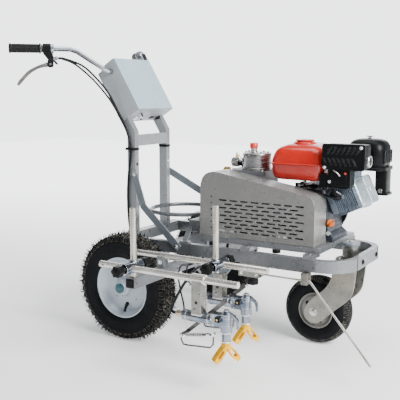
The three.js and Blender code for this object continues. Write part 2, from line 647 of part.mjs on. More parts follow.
// ---------------------------------------------------------------- wheels
function tyreProfile({ radius, width, rim }) {
  const half = width / 2;
  return [
    [rim, -half * 0.72], [rim + 12, -half], [radius - 16, -half * 0.94], [radius, -half * 0.5],
    [radius, half * 0.5], [radius - 16, half * 0.94], [rim + 12, half], [rim, half * 0.72],
  ];
}

function rearWheel(side) {
  const label = side < 0 ? 'right' : 'left';
  const centre = [0, side * TRACK_HALF, REAR_TYRE.radius];
  add(`tyre_${label}`, turned(tyreProfile(REAR_TYRE), 'y', 30).translate(...centre), 'tyre');
  const edge = REAR_TYRE.rim - 1.2;
  const out = side;
  const profile = [
    [edge, -34], [edge, 34], [edge - 6, 34], [edge - 16, 8], [48, 8], [34, 20], [30, 34], [22, 34], [22, 46],
    [10.4, 46], [10.4, -46], [24, -46], [24, 0], [edge - 18, 0], [edge - 8, -34],
  ].map(([r, h]) => [r, h * out]);
  const rim = turned(profile, 'y', 20);
  add(`rim_${label}`, rim.translate(...centre), 'rim');
}

function castor() {
  const top = 316;
  const legShape = outline([
    [736, top, 6], [822, top, 6], [820, 288, 20], [813, 226, 20], [796, 195, 16], [735, 141, 30], [682, 88, 20],
    [640, 86, 20], [620, 118, 20], [646, 178, 20], [700, 222, 30], [725, 262, 20],
  ]);
  const leg = (side) => sidePlate(legShape, side < 0 ? -56 : 50, side < 0 ? -50 : 56, 3);
  const crown = block([738, 820], [-56, 56], [304, top]);
  const race = rod(vec(SWIVEL_X, 0, top - 2), vec(SWIVEL_X, 0, RAIL.low - GAP), 26, 20);
  const stem = rod(vec(SWIVEL_X, 0, top - 2), vec(SWIVEL_X, 0, HEAD.boreTop - 1), 10, 16);
  const axle = rod(vec(CASTOR_AXLE_X, -66, 130), vec(CASTOR_AXLE_X, 66, 130), 8, 14);
  add('castor_fork', join(crown, leg(-1), leg(1), race, stem, axle), 'zinc');
  const centre = [CASTOR_AXLE_X, 0, CASTOR_TYRE.radius];
  add('castor_tyre', turned(tyreProfile(CASTOR_TYRE), 'y', 28).translate(...centre), 'tyre');
  const edge = CASTOR_TYRE.rim - 0.9;
  const rim = turned([
    [edge, -30], [edge, 30], [edge - 6, 30], [edge - 12, 7], [22, 8], [20, 46], [8.5, 46],
    [8.5, -46], [20, -46], [22, -8], [edge - 12, -7], [edge - 6, -30],
  ], 'y', 18);
  add('castor_rim', rim.translate(...centre), 'rim');
}

// ---------------------------------------------------------------- spray gun arms
function gunArm() {
  const top = RAIL.low - GAP;
  const { x, size, end } = ARM;
  const beam = block([x - size / 2, x + size / 2], [end, RAIL.outer], [top - size, top]);
  const post = rod(vec(CROSS_1.x, CROSS_1.postY, top - 6), vec(CROSS_1.x, CROSS_1.postY, 564), ROD_RADIUS, 16);
  const rodTwo = rod(vec(100, CROSS_2.rodY, CROSS_2.z), vec(647, CROSS_2.rodY, CROSS_2.z), ROD_RADIUS, 16);
  const saddle = block([x - 15, x + 15], [CROSS_2.rodY - 14, CROSS_2.rodY + 14], [top - 4, CROSS_2.z]);
  add('gun_arm', join(beam, post, rodTwo, saddle), 'rodSteel');
}

// A sleeve across the machine, bored for an upright post and for a fore-and-aft rod.
function crossClamp(name, { x, postY, rodY, z }) {
  const middle = (postY + rodY) / 2;
  const half = 48;
  const bore = ROD_RADIUS + 0.8;
  const body = rod(vec(x, middle - half, z), vec(x, middle + half, z), 20, 16);
  const collar = rod(vec(x, postY, z - 22), vec(x, postY, z + 22), 17, 16);
  const postBore = rod(vec(x, postY, z - 40), vec(x, postY, z + 40), bore, 12);
  const rodBore = rod(vec(x - 40, rodY, z), vec(x + 40, rodY, z), bore, 12);
  add(name, cut(join(body, collar), postBore, rodBore), 'steel');
  const knob = (suffix, side) => {
    const seat = middle + side * (half + GAP);
    const head = starKnob(21, 26).translate(x, side < 0 ? seat - 38 : seat + 12, z);
    const stud = rod(vec(x, seat, z), vec(x, seat + side * 14, z), 6, 12);
    add(`lock_knob_${name.slice(-1)}${suffix}`, join(head, stud), 'black');
  };
  knob('a', -1);
  knob('b', 1);
}

const HOLDER = { radius: 17.5, rear: -58, front: 51, nut: -84 };

function hangerAndHolder(gun, top) {
  const { x, y, z } = gun;
  const drop = block([x - 18, x + 18], [y - 16, y + 16], [z - 4, top]);
  const holder = rod(vec(x + HOLDER.rear, y, z), vec(x + HOLDER.front, y, z), HOLDER.radius, 20);
  const nut = rod(vec(x + HOLDER.nut, y, z), vec(x + HOLDER.rear + 2, y, z), 10, 6);
  return [drop, holder, nut];
}

function firstGunCarrier() {
  const { x, y } = GUN_1;
  const bar = rod(vec(100, CROSS_1.rodY, CROSS_1.z), vec(644, CROSS_1.rodY, CROSS_1.z), ROD_RADIUS, 16);
  const sleeve = rod(vec(x - 25, y, CROSS_1.z), vec(x + 25, y, CROSS_1.z), 17, 20);
  add('gun_rod_1', join(bar, sleeve, ...hangerAndHolder(GUN_1, CROSS_1.z - 4)), 'rodSteel');
}

function secondGunCarrier() {
  const post = rod(vec(CROSS_2.x, CROSS_2.postY, 330), vec(CROSS_2.x, CROSS_2.postY, 572), ROD_RADIUS, 16);
  add('gun_post_2', join(post, ...hangerAndHolder(GUN_2, CROSS_2.z - 24)), 'rodSteel');
}

function sprayGun(number, gun) {
  const { x, y, z } = gun;
  const axisX = x + 102;
  const front = x + HOLDER.front + GAP;
  const body = join(
    block([front, axisX + 8], [y - 15, y + 15], [z - 16, z + 24]),
    rod(vec(axisX, y, z - 32), vec(axisX, y, z + 26), 18, 18),
    rod(vec(axisX, y, z + 25), vec(axisX, y, z + 36), 18, 18, 9),
    block([front + 22, front + 38], [y - 23, y - 14], [z + 2, z + 18]),
    rod(vec(axisX, y, z - 65), vec(axisX, y, z - 31), 15, 6),
  );
  const hook = sidePlate(outline([
    [axisX, z + 34], [axisX + 16, z + 34, 8], [axisX + 44, z + 14, 12], [axisX + 44, z - 16, 4], [axisX + 37, z - 18],
    [axisX + 37, z + 8, 10], [axisX + 10, z + 26, 6], [axisX, z + 26],
  ]), y - 4, y + 4, 3);
  add(`gun_${number}`, join(body, hook), 'steel');
  tipGuard(number, vec(axisX, y, z - 65 - GAP));
  triggerLinkage(number, gun);
}

// A reversible spray tip's guard: a collar with two slotted wings spread either side.
function tipGuard(number, top) {
  const collar = rod(vec(0, 0, -20), vec(0, 0, 0), 14, 16);
  const wing = (side) => {
    const shape = outline([
      [side * 2, -12], [side * 13, -12], [side * 44, -52, 6], [side * 36, -62, 6], [side * 25, -56, 4], [side * 2, -24],
    ]);
    const plate = sidePlate(shape, -13, 13, 3);
    const slot = block([12, 34], [-6.5, 6.5], [-8, 8]).rotateY(side < 0 ? -0.9 - Math.PI / 2 - 0.7 : 0.9)
      .translate(side * 4, 0, -18);
    return cut(plate, slot);
  };
  const guard = join(collar, wing(-1), wing(1)).rotateZ(THREE.MathUtils.degToRad(55));
  add(`tip_guard_${number}`, guard.translate(top.x, top.y, top.z), 'yellow');
}

// The pull lever beside the holder, with its yoke, push rods and wire bail.
function triggerLinkage(number, { x, y, z }) {
  const behind = y + HOLDER.radius + 5;
  const lowX = x - 58;
  const lowZ = z - 65;
  const lever = strap(vec(lowX, behind, lowZ), vec(x + 84, behind, z + 58), 13, 6);
  const yoke = rod(vec(lowX, y - 20, lowZ), vec(lowX, behind + 3, lowZ), 6, 12);
  const pushEnd = vec(x + 66, y - 17, z - 42);
  const push = rod(vec(lowX, y - 17, lowZ), pushEnd, 4, 8);
  const bailPath = bentPath([
    vec(lowX, y - 17, lowZ), vec(lowX + 4, y - 17, lowZ - 32), vec(x + 62, y - 17, lowZ - 22), pushEnd,
  ], 14);
  const bail = tube(bailPath, 3, 8, 11);
  const boss = rod(vec(x + 14, behind - 3, z), vec(x + 14, behind + 5, z), 10, 14);
  add(`trigger_${number}`, join(lever, yoke, push, bail, boss), 'zinc');
}

// ---------------------------------------------------------------- line pointer
function pointer() {
  const { y, z, rear, bend } = POINTER;
  const top = RAIL.low - GAP;
  const strip = block([430, 706], [-214, -191], [top - 5, top]);
  const web = block([436, 520], [-214, -196], [z - 4, top - 2]);
  const jaw = block([436, 520], [y - 14, -200], [z - 12, z + 12]);
  const plate = block([684, 706], [y - 14, -196], [z - 13, top - 2]);
  const bore = rod(vec(420, y, z), vec(730, y, z), 4.9, 12);
  const stud = rod(vec(488, y, z - 20), vec(488, y, z - 11), 6, 12);
  const knob = starKnob(20, 20).rotateX(Math.PI / 2).translate(488, y, z - 40);
  add('pointer_clamp', cut(join(strip, web, jaw, plate, stud, knob), bore), 'zinc');
  const elbow = new THREE.SphereGeometry(4, 10, 6).translate(bend, y, z);
  const straight = rod(vec(rear, y, z), vec(bend, y, z), 4, 10);
  const slanted = rod(vec(bend, y, z), vec(985, -360, 83), 4, 10);
  add('pointer_rod', join(straight, elbow, slanted), 'rodSteel');
}

frameRails();
frontBow();
castorHead();
rearAxle();
upright();
braces();
controlBox();
handlebar();
grip('grip_right', -1);
grip('grip_left', 1);
brakeLever('lever_right', -1);
brakeLever('lever_left', 1);
controlCables();
deck();
pailRack();
beltGuard();
beltDrive();
pump();
paintHose();
engineBlock();
fuelTank();
exhaustAndIntake();
rearWheel(-1);
rearWheel(1);
castor();
gunArm();
crossClamp('cross_clamp_1', CROSS_1);
crossClamp('cross_clamp_2', CROSS_2);
firstGunCarrier();
secondGunCarrier();
sprayGun(1, GUN_1);
sprayGun(2, GUN_2);
pointer();

// The origin is the centre of the footprint, on the ground.
machine.updateMatrixWorld(true);
const bounds = new THREE.Box3().setFromObject(machine, true);
const centre = bounds.getCenter(new THREE.Vector3());
machine.position.set(-centre.x, -centre.y, -bounds.min.z);

export default machine;
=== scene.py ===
import math
import random

import bpy
import bmesh
from mathutils import Matrix, Vector


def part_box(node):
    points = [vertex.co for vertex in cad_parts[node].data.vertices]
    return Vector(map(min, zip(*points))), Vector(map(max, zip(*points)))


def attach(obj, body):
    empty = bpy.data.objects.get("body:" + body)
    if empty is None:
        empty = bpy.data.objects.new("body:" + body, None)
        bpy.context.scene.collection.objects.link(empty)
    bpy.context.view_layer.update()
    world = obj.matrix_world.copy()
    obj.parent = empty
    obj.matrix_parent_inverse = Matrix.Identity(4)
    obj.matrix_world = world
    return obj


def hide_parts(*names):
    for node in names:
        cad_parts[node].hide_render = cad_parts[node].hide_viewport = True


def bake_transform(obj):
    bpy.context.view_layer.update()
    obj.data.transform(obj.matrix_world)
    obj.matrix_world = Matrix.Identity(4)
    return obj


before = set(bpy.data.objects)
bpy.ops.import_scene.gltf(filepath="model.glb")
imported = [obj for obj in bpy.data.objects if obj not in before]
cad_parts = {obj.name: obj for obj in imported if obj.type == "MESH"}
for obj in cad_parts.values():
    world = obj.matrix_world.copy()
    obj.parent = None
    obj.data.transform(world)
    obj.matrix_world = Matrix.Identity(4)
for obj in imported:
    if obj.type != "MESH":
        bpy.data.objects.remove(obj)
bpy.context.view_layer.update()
random.seed(11)

# Working coordinates are in mm: X forward from the rear axle, Y left from the machine's middle, Z up.
near_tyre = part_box("tyre_right")
far_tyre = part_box("tyre_left")
AXLE_X = (near_tyre[0].x + near_tyre[1].x) / 2
MIDDLE_Y = (near_tyre[0].y + far_tyre[1].y) / 2


def place(p):
    return Vector((p[0] / 1000 + AXLE_X, p[1] / 1000 + MIDDLE_Y, p[2] / 1000))


# ------------------------------------------------------------------ camera, floor and light
AZIMUTH = math.radians(31.83)
ELEVATION = math.radians(8.51)
sight = Vector((-math.sin(AZIMUTH) * math.cos(ELEVATION), math.cos(AZIMUTH) * math.cos(ELEVATION),
                -math.sin(ELEVATION)))
camera = bpy.data.objects.new("camera", bpy.data.cameras.new("camera"))
camera.data.lens = 63.84
camera.data.sensor_width = 36
camera.location = place((1659.5, -2476.2, 944))
camera.rotation_mode = "QUATERNION"
camera.rotation_quaternion = sight.to_track_quat("-Z", "Y")
bpy.context.scene.collection.objects.link(camera)
bpy.context.scene.camera = camera


def area_light(name, at, aim, size, watts, colour):
    lamp = bpy.data.lights.new(name, "AREA")
    lamp.shape = "DISK"
    lamp.size = size
    lamp.energy = watts
    lamp.color = colour
    thing = bpy.data.objects.new(name, lamp)
    thing.location = at
    thing.rotation_mode = "QUATERNION"
    thing.rotation_quaternion = (Vector(aim) - Vector(at)).to_track_quat("-Z", "Y")
    bpy.context.scene.collection.objects.link(thing)


def rise_along(tree, place_or_way, way, levels):
    """A smooth rise from levels[2] to levels[3] while the part along way goes from levels[0] to levels[1]."""
    share = tree.nodes.new("ShaderNodeVectorMath")
    share.operation = "DOT_PRODUCT"
    share.inputs[1].default_value = way
    rise = tree.nodes.new("ShaderNodeMapRange")
    rise.interpolation_type = "SMOOTHSTEP"
    for socket, value in zip(("From Min", "From Max", "To Min", "To Max"), levels):
        rise.inputs[socket].default_value = value
    tree.links.new(place_or_way, share.inputs[0])
    tree.links.new(share.outputs["Value"], rise.inputs["Value"])
    return rise.outputs["Result"]


WORLD_DIM = 0.16
WORLD_BRIGHT = 3.4
FLOOR_GLOW = 3.1
COOL_WHITE = (0.97, 0.985, 1.0, 1)
SOFTBOX_WAY = (0.88, -0.25, 0.40)
area_light("key", (3.5, -0.9, 2.6), (0, 0, 0.45), 2.2, 400, (1.0, 0.99, 0.975))
area_light("top", (0.2, 0.2, 4.2), (0, 0, 0.3), 3.2, 110, (1.0, 1.0, 1.0))
area_light("fill", (-2.6, -3.0, 1.8), (0, 0, 0.5), 2.0, 9, (0.94, 0.97, 1.0))

# The studio is dim all round but for a bright wall behind the machine and a soft patch ahead of it.
WALL_WAY = Vector((sight.x, sight.y, 0)).normalized()
world = bpy.data.worlds.new("studio")
world.use_nodes = True
bpy.context.scene.world = world
tree = world.node_tree
where = tree.nodes.new("ShaderNodeTexCoord").outputs["Generated"]
total = tree.nodes.new("ShaderNodeMath")
total.operation = "ADD"
tree.links.new(rise_along(tree, where, WALL_WAY, (0.70, 0.93, WORLD_DIM, WORLD_BRIGHT)), total.inputs[0])
tree.links.new(rise_along(tree, where, SOFTBOX_WAY, (0.45, 0.95, 0.0, 0.9)), total.inputs[1])
tree.links.new(total.outputs["Value"], tree.nodes["Background"].inputs["Strength"])
tree.nodes["Background"].inputs["Color"].default_value = COOL_WHITE


# ------------------------------------------------------------------ materials
def material(name, colour, rough, metal=0.0, vary=0.08, vary_scale=7.0, rough_vary=0.12, grain=0.03,
             grain_scale=700.0,
             stretch=None, stretch_amount=0.0, wear_and_sheen=None, wear_and_sheen_amount=0.0, dust=None, dust_amount=0.0,
             coat=0.0,
             specks=None, speck_amount=0.0, tint=None, depth=0.0004, shine=0.5):
    made = bpy.data.materials.new(name)
    made.use_nodes = True
    nodes, links = made.node_tree.nodes, made.node_tree.links
    shader = nodes["Principled BSDF"]
    shader.inputs["Metallic"].default_value = metal
    shader.inputs["Coat Weight"].default_value = coat
    shader.inputs["Specular IOR Level"].default_value = shine
    shader.inputs["Coat Roughness"].default_value = 0.08
    spot = nodes.new("ShaderNodeTexCoord").outputs["Object"]

    def noise(scale, detail=4.0, roughness=0.55, stretched=None):
        out = nodes.new("ShaderNodeTexNoise")
        out.inputs["Scale"].default_value = scale
        out.inputs["Detail"].default_value = detail
        out.inputs["Roughness"].default_value = roughness
        if stretched:
            mapping = nodes.new("ShaderNodeMapping")
            mapping.inputs["Scale"].default_value = stretched
            links.new(spot, mapping.inputs["Vector"])
            links.new(mapping.outputs["Vector"], out.inputs["Vector"])
        else:
            links.new(spot, out.inputs["Vector"])
        return out.outputs["Fac"]

    def remap(value, low, high, to_low, to_high):
        out = nodes.new("ShaderNodeMapRange")
        out.inputs["From Min"].default_value = low
        out.inputs["From Max"].default_value = high
        out.inputs["To Min"].default_value = to_low
        out.inputs["To Max"].default_value = to_high
        links.new(value, out.inputs["Value"])
        return out.outputs["Result"]

    def mix(factor, first, second):
        out = nodes.new("ShaderNodeMix")
        out.data_type = "RGBA"
        links.new(factor, out.inputs["Factor"])
        for socket, value in ((out.inputs["A"], first), (out.inputs["B"], second)):
            if isinstance(value, (tuple, list)):
                socket.default_value = (*value[:3], 1)
            else:
                links.new(value, socket)
        return out.outputs["Result"]

    def times(first, second):
        out = nodes.new("ShaderNodeMath")
        out.operation = "MULTIPLY"
        links.new(first, out.inputs[0])
        if isinstance(second, float):
            out.inputs[1].default_value = second
        else:
            links.new(second, out.inputs[1])
        return out.outputs[0]

    cloud = noise(vary_scale, 6.0, 0.6)
    dark = [c * (1 - vary) for c in colour]
    light = tint or [min(1.0, c * (1 + vary)) for c in colour]
    base = mix(remap(cloud, 0.32, 0.68, 0.0, 1.0), dark, light)
    gloss = remap(noise(vary_scale * 3.1, 5.0), 0.3, 0.7, max(0.03, rough - rough_vary),
                  min(1.0, rough + rough_vary))
    fine = noise(grain_scale, 3.0)
    height = fine
    if stretch:
        lines = noise(1.0, 3.0, 0.5, stretch)
        streak = remap(lines, 0.35, 0.65, 0.0, 1.0)
        base = mix(times(streak, stretch_amount), base, [c * 0.55 for c in colour])
        height = lines
    if specks:
        speck = remap(noise(grain_scale * 0.6, 2.0, 0.8), 0.62, 0.70, 0.0, speck_amount)
        base = mix(speck, base, specks)
    # Lightens edges found from the bevel normal: worn edges, and on the tread partly a painted highlight.
    if wear_and_sheen:
        soft = nodes.new("ShaderNodeBevel")
        soft.samples = 4
        soft.inputs["Radius"].default_value = 0.0022
        solid = nodes.new("ShaderNodeNewGeometry")
        turn = nodes.new("ShaderNodeVectorMath")
        turn.operation = "DOT_PRODUCT"
        links.new(soft.outputs["Normal"], turn.inputs[0])
        links.new(solid.outputs["Normal"], turn.inputs[1])
        edge = remap(turn.outputs["Value"], 0.985, 0.90, 0.0, wear_and_sheen_amount)
        patch = remap(noise(55.0, 6.0, 0.7), 0.42, 0.62, 0.0, 1.0)
        base = mix(times(edge, patch), base, wear_and_sheen)
    if dust:
        solid = nodes.new("ShaderNodeNewGeometry")
        parts = nodes.new("ShaderNodeSeparateXYZ")
        links.new(solid.outputs["Normal"], parts.inputs[0])
        up = remap(parts.outputs["Z"], -0.2, 1.0, 0.25, 1.0)
        patch = remap(noise(24.0, 8.0, 0.7), 0.40, 0.72, 0.0, dust_amount)
        base = mix(times(up, patch), base, dust)
    links.new(base, shader.inputs["Base Color"])
    links.new(gloss, shader.inputs["Roughness"])
    if grain > 0:
        bump = nodes.new("ShaderNodeBump")
        bump.inputs["Strength"].default_value = min(1.0, grain * 8)
        bump.inputs["Distance"].default_value = depth
        links.new(height, bump.inputs["Height"])
        links.new(bump.outputs["Normal"], shader.inputs["Normal"])
    return made


BARE = (0.62, 0.62, 0.62)
DUST = (0.46, 0.43, 0.38)
frame_paint = material("frame_paint", (0.17, 0.181, 0.194), 0.32, 0.45, vary=0.06, specks=(0.34, 0.36, 0.38),
                       speck_amount=0.4,
                       wear_and_sheen=(0.55, 0.57, 0.59), wear_and_sheen_amount=0.5, dust=DUST, dust_amount=0.06, grain=0.02,
                       grain_scale=900)
# Painted shade: a darker copy of the frame paint for the rails, standing in for the shade on their side faces.
shaded_frame_paint = material("shaded_frame_paint", (0.128, 0.137, 0.146), 0.30, 0.45, vary=0.06, specks=(0.20, 0.21, 0.22),
                      speck_amount=0.4,
                      wear_and_sheen=(0.50, 0.52, 0.54), wear_and_sheen_amount=0.6, dust=DUST, dust_amount=0.05, grain=0.02,
                      grain_scale=900)
upright_paint = material("upright_paint", (0.27, 0.287, 0.30), 0.34, 0.40, vary=0.06,
                         specks=(0.42, 0.44, 0.46), speck_amount=0.3,
                         wear_and_sheen=(0.62, 0.64, 0.66), wear_and_sheen_amount=0.5, dust=DUST, dust_amount=0.05, grain=0.02,
                         grain_scale=900)
dark_paint = material("dark_paint", (0.15, 0.175, 0.20), 0.42, 0.35, vary=0.08, specks=(0.30, 0.33, 0.36),
                      speck_amount=0.4,
                      wear_and_sheen=(0.66, 0.68, 0.70), wear_and_sheen_amount=0.7, dust=DUST, dust_amount=0.1, grain=0.04,
                      grain_scale=900)
guard_paint = material("guard_paint", (0.185, 0.184, 0.180), 0.33, 0.35, vary=0.05, specks=(0.33, 0.33, 0.32),
                       speck_amount=0.3,
                       wear_and_sheen=(0.62, 0.63, 0.64), wear_and_sheen_amount=0.7, grain=0.02, grain_scale=800)
box_paint = material("box_paint", (0.36, 0.395, 0.415), 0.42, 0.2, vary=0.05, specks=(0.46, 0.50, 0.52),
                     speck_amount=0.4,
                     wear_and_sheen=(0.8, 0.82, 0.84), wear_and_sheen_amount=0.6, grain=0.06, grain_scale=650)
cover_paint = material("cover_paint", (0.37, 0.49, 0.575), 0.36, 0.15, vary=0.035, specks=(0.62, 0.70, 0.75),
                       speck_amount=0.35,
                       wear_and_sheen=(0.85, 0.88, 0.9), wear_and_sheen_amount=0.6, grain=0.06, grain_scale=650)
pale_paint = material("pale_paint", (0.66, 0.66, 0.63), 0.40, 0.1, vary=0.05, wear_and_sheen=BARE, wear_and_sheen_amount=0.5,
                      grain=0.04)
zinc = material("zinc", (0.185, 0.19, 0.188), 0.27, 0.90, vary=0.10, vary_scale=16, rough_vary=0.13,
                tint=(0.31, 0.303, 0.265),
                grain=0.02, grain_scale=420, wear_and_sheen=(0.9, 0.9, 0.9), wear_and_sheen_amount=0.5)
bow_steel = material("bow_steel", (0.085, 0.088, 0.09), 0.30, 0.85, vary=0.16, vary_scale=16, rough_vary=0.10,
                     tint=(0.15, 0.148, 0.14),
                     grain=0.02, grain_scale=420, wear_and_sheen=(0.5, 0.5, 0.5), wear_and_sheen_amount=0.6)
# Painted shade: a slightly dimmer copy of zinc for the castor fork, standing in for the shade the bow casts on it.
shaded_fork_zinc = material("shaded_fork_zinc", (0.19, 0.196, 0.19), 0.34, 0.75, vary=0.16, vary_scale=16, rough_vary=0.13,
                     tint=(0.30, 0.29, 0.25),
                     grain=0.02, grain_scale=420, wear_and_sheen=(0.7, 0.7, 0.7), wear_and_sheen_amount=0.5)
rocker_zinc = material("rocker_zinc", (0.40, 0.52, 0.60), 0.26, 0.45, vary=0.14, vary_scale=22,
                       rough_vary=0.08,
                       tint=(0.60, 0.66, 0.68), grain=0.015, grain_scale=300)
blue_zinc = material("blue_zinc", (0.15, 0.19, 0.265), 0.19, 0.95, vary=0.16, vary_scale=22, rough_vary=0.08,
                     tint=(0.31, 0.34, 0.38), grain=0.015, grain_scale=300)
chrome = material("chrome", (0.36, 0.385, 0.42), 0.14, 1.0, vary=0.05, rough_vary=0.05, grain=0.004,
                  grain_scale=200,
                  stretch=(60, 60, 60), stretch_amount=0.06)
rod_steel = material("rod_steel", (0.66, 0.625, 0.56), 0.24, 0.80, vary=0.10, vary_scale=10, rough_vary=0.12,
                     tint=(0.80, 0.78, 0.74), stretch=(14, 900, 900), stretch_amount=0.16, grain=0.01)
post_steel = material("post_steel", (0.45, 0.41, 0.35), 0.22, 0.90, vary=0.10, vary_scale=10, rough_vary=0.12,
                      tint=(0.64, 0.61, 0.56), stretch=(900, 900, 14), stretch_amount=0.16, grain=0.01)
turned = material("turned_steel", (0.36, 0.36, 0.365), 0.26, 0.95, vary=0.08, rough_vary=0.08,
                  stretch=(16, 16, 2600), stretch_amount=0.35, grain=0.012)
brushed = material("brushed_steel", (0.60, 0.60, 0.595), 0.30, 0.95, vary=0.10, vary_scale=14,
                   rough_vary=0.10,
                   stretch=(40, 900, 900), stretch_amount=0.25, grain=0.012)
black_plastic = material("black_plastic", (0.0045, 0.005, 0.0055), 0.42, vary=0.3, rough_vary=0.10,
                         grain=0.05, grain_scale=520,
                         dust=(0.04, 0.04, 0.04), dust_amount=0.08, shine=0.12)
satin_black = material("satin_black", (0.0035, 0.004, 0.0045), 0.36, 0.0, vary=0.25, rough_vary=0.08,
                       grain=0.03, grain_scale=600,
                       wear_and_sheen=(0.05, 0.054, 0.058), wear_and_sheen_amount=0.8, shine=0.11)
grip_rubber = material("grip_rubber", (0.0045, 0.0045, 0.005), 0.55, vary=0.3, grain=0.06, grain_scale=900,
                       dust=(0.08, 0.08, 0.08), dust_amount=0.08, shine=0.25)
cable_skin = material("cable_skin", (0.004, 0.0045, 0.0055), 0.42, vary=0.25, grain=0.02, grain_scale=900,
                      dust=(0.06, 0.06, 0.06), dust_amount=0.06, shine=0.18)
tyre_rubber = material("tyre_rubber", (0.004, 0.0046, 0.0058), 0.5, vary=0.25, rough_vary=0.14, grain=0.05,
                       grain_scale=380,
                       dust=(0.03, 0.031, 0.033), dust_amount=0.05, shine=0.09)
# Its pale block-edge colour is partly dusty wear and partly a painted highlight on the tread lugs.
tread_rubber = material("tread_rubber", (0.007, 0.0068, 0.0065), 0.6, vary=0.4, vary_scale=40,
                        rough_vary=0.15, grain=0.09,
                        grain_scale=300, wear_and_sheen=(0.42, 0.40, 0.34), wear_and_sheen_amount=0.85, dust=(0.14, 0.13, 0.11),
                        dust_amount=0.12, shine=0.12)
wheel_paint = material("wheel_paint", (0.40, 0.46, 0.52), 0.22, 0.0, vary=0.035, rough_vary=0.06, grain=0.01,
                       coat=0.5,
                       dust=(0.5, 0.48, 0.44), dust_amount=0.14)
castor_paint = material("castor_paint", (0.17, 0.17, 0.162), 0.33, 0.35, vary=0.05, grain=0.02, dust=DUST,
                        dust_amount=0.14)
tank_red = material("tank_red", (0.43, 0.014, 0.0075), 0.20, vary=0.05, rough_vary=0.06, grain=0.004,
                    grain_scale=60, coat=0.3,
                    depth=0.0008, shine=0.35)
red_plastic = material("red_plastic", (0.60, 0.035, 0.025), 0.34, vary=0.1, grain=0.03)
yellow_plastic = material("yellow_plastic", (0.74, 0.39, 0.0), 0.42, vary=0.09, grain=0.04, grain_scale=500,
                          shine=0.2)
teal_cap = material("teal_cap", (0.001, 0.065, 0.08), 0.32, vary=0.15, grain=0.02, coat=0.3)
orange_plastic = material("orange_plastic", (0.36, 0.075, 0.001), 0.45, vary=0.12, grain=0.03, shine=0.2)
brass = material("brass", (0.62, 0.45, 0.12), 0.28, 0.95, vary=0.14, vary_scale=30, grain=0.02)
brown_nut = material("brown_nut", (0.50, 0.40, 0.29), 0.36, 0.85, vary=0.18, vary_scale=40, grain=0.03)
case_metal = material("case_metal", (0.05, 0.06, 0.078), 0.40, 0.55, vary=0.25, vary_scale=18, grain=0.12,
                      grain_scale=340,
                      wear_and_sheen=(0.26, 0.29, 0.34), wear_and_sheen_amount=0.7, depth=0.0007, shine=0.35)
fin_metal = material("fin_metal", (0.21, 0.26, 0.325), 0.36, 0.75, vary=0.2, vary_scale=18, grain=0.09,
                     grain_scale=420)
cast_iron = material("cast_iron", (0.10, 0.105, 0.11), 0.52, 0.55, vary=0.2, grain=0.12, grain_scale=380,
                     depth=0.0007,
                     wear_and_sheen=(0.4, 0.4, 0.4), wear_and_sheen_amount=0.5)
pump_paint = material("pump_paint", (0.22, 0.23, 0.245), 0.46, 0.35, vary=0.12, grain=0.09, grain_scale=420,
                      wear_and_sheen=(0.5, 0.5, 0.5), wear_and_sheen_amount=0.6)
# Painted shade: near-black standing in for the shade inside holes, slots and gaps that are not cut into the shapes.
painted_gap_shade = material("painted_gap_shade", (0.006, 0.006, 0.007), 0.8, vary=0.2, grain=0.02)
# Dark grey for the scale marks; it also paints the shade in small holes that are not cut.
marks_and_hole_shade = material("marks_and_hole_shade", (0.13, 0.12, 0.10), 0.5, vary=0.2, grain=0.01)
white_screw = material("white_screw", (0.80, 0.82, 0.84), 0.2, 0.9, vary=0.06, grain=0.01)
floor_paint = material("floor_paint", (0.90, 0.90, 0.90), 0.72, vary=0.012, vary_scale=1.2, rough_vary=0.05,
                       grain=0.006, grain_scale=90)


# ------------------------------------------------------------------ mesh tools
def circle(count, radius=1.0, start=0.0):
    """Points (a, b) evenly round a circle; start is a share of a turn."""
    turns = [2 * math.pi * (start + k / count) for k in range(count)]
    return [(radius * math.cos(turn), radius * math.sin(turn)) for turn in turns]


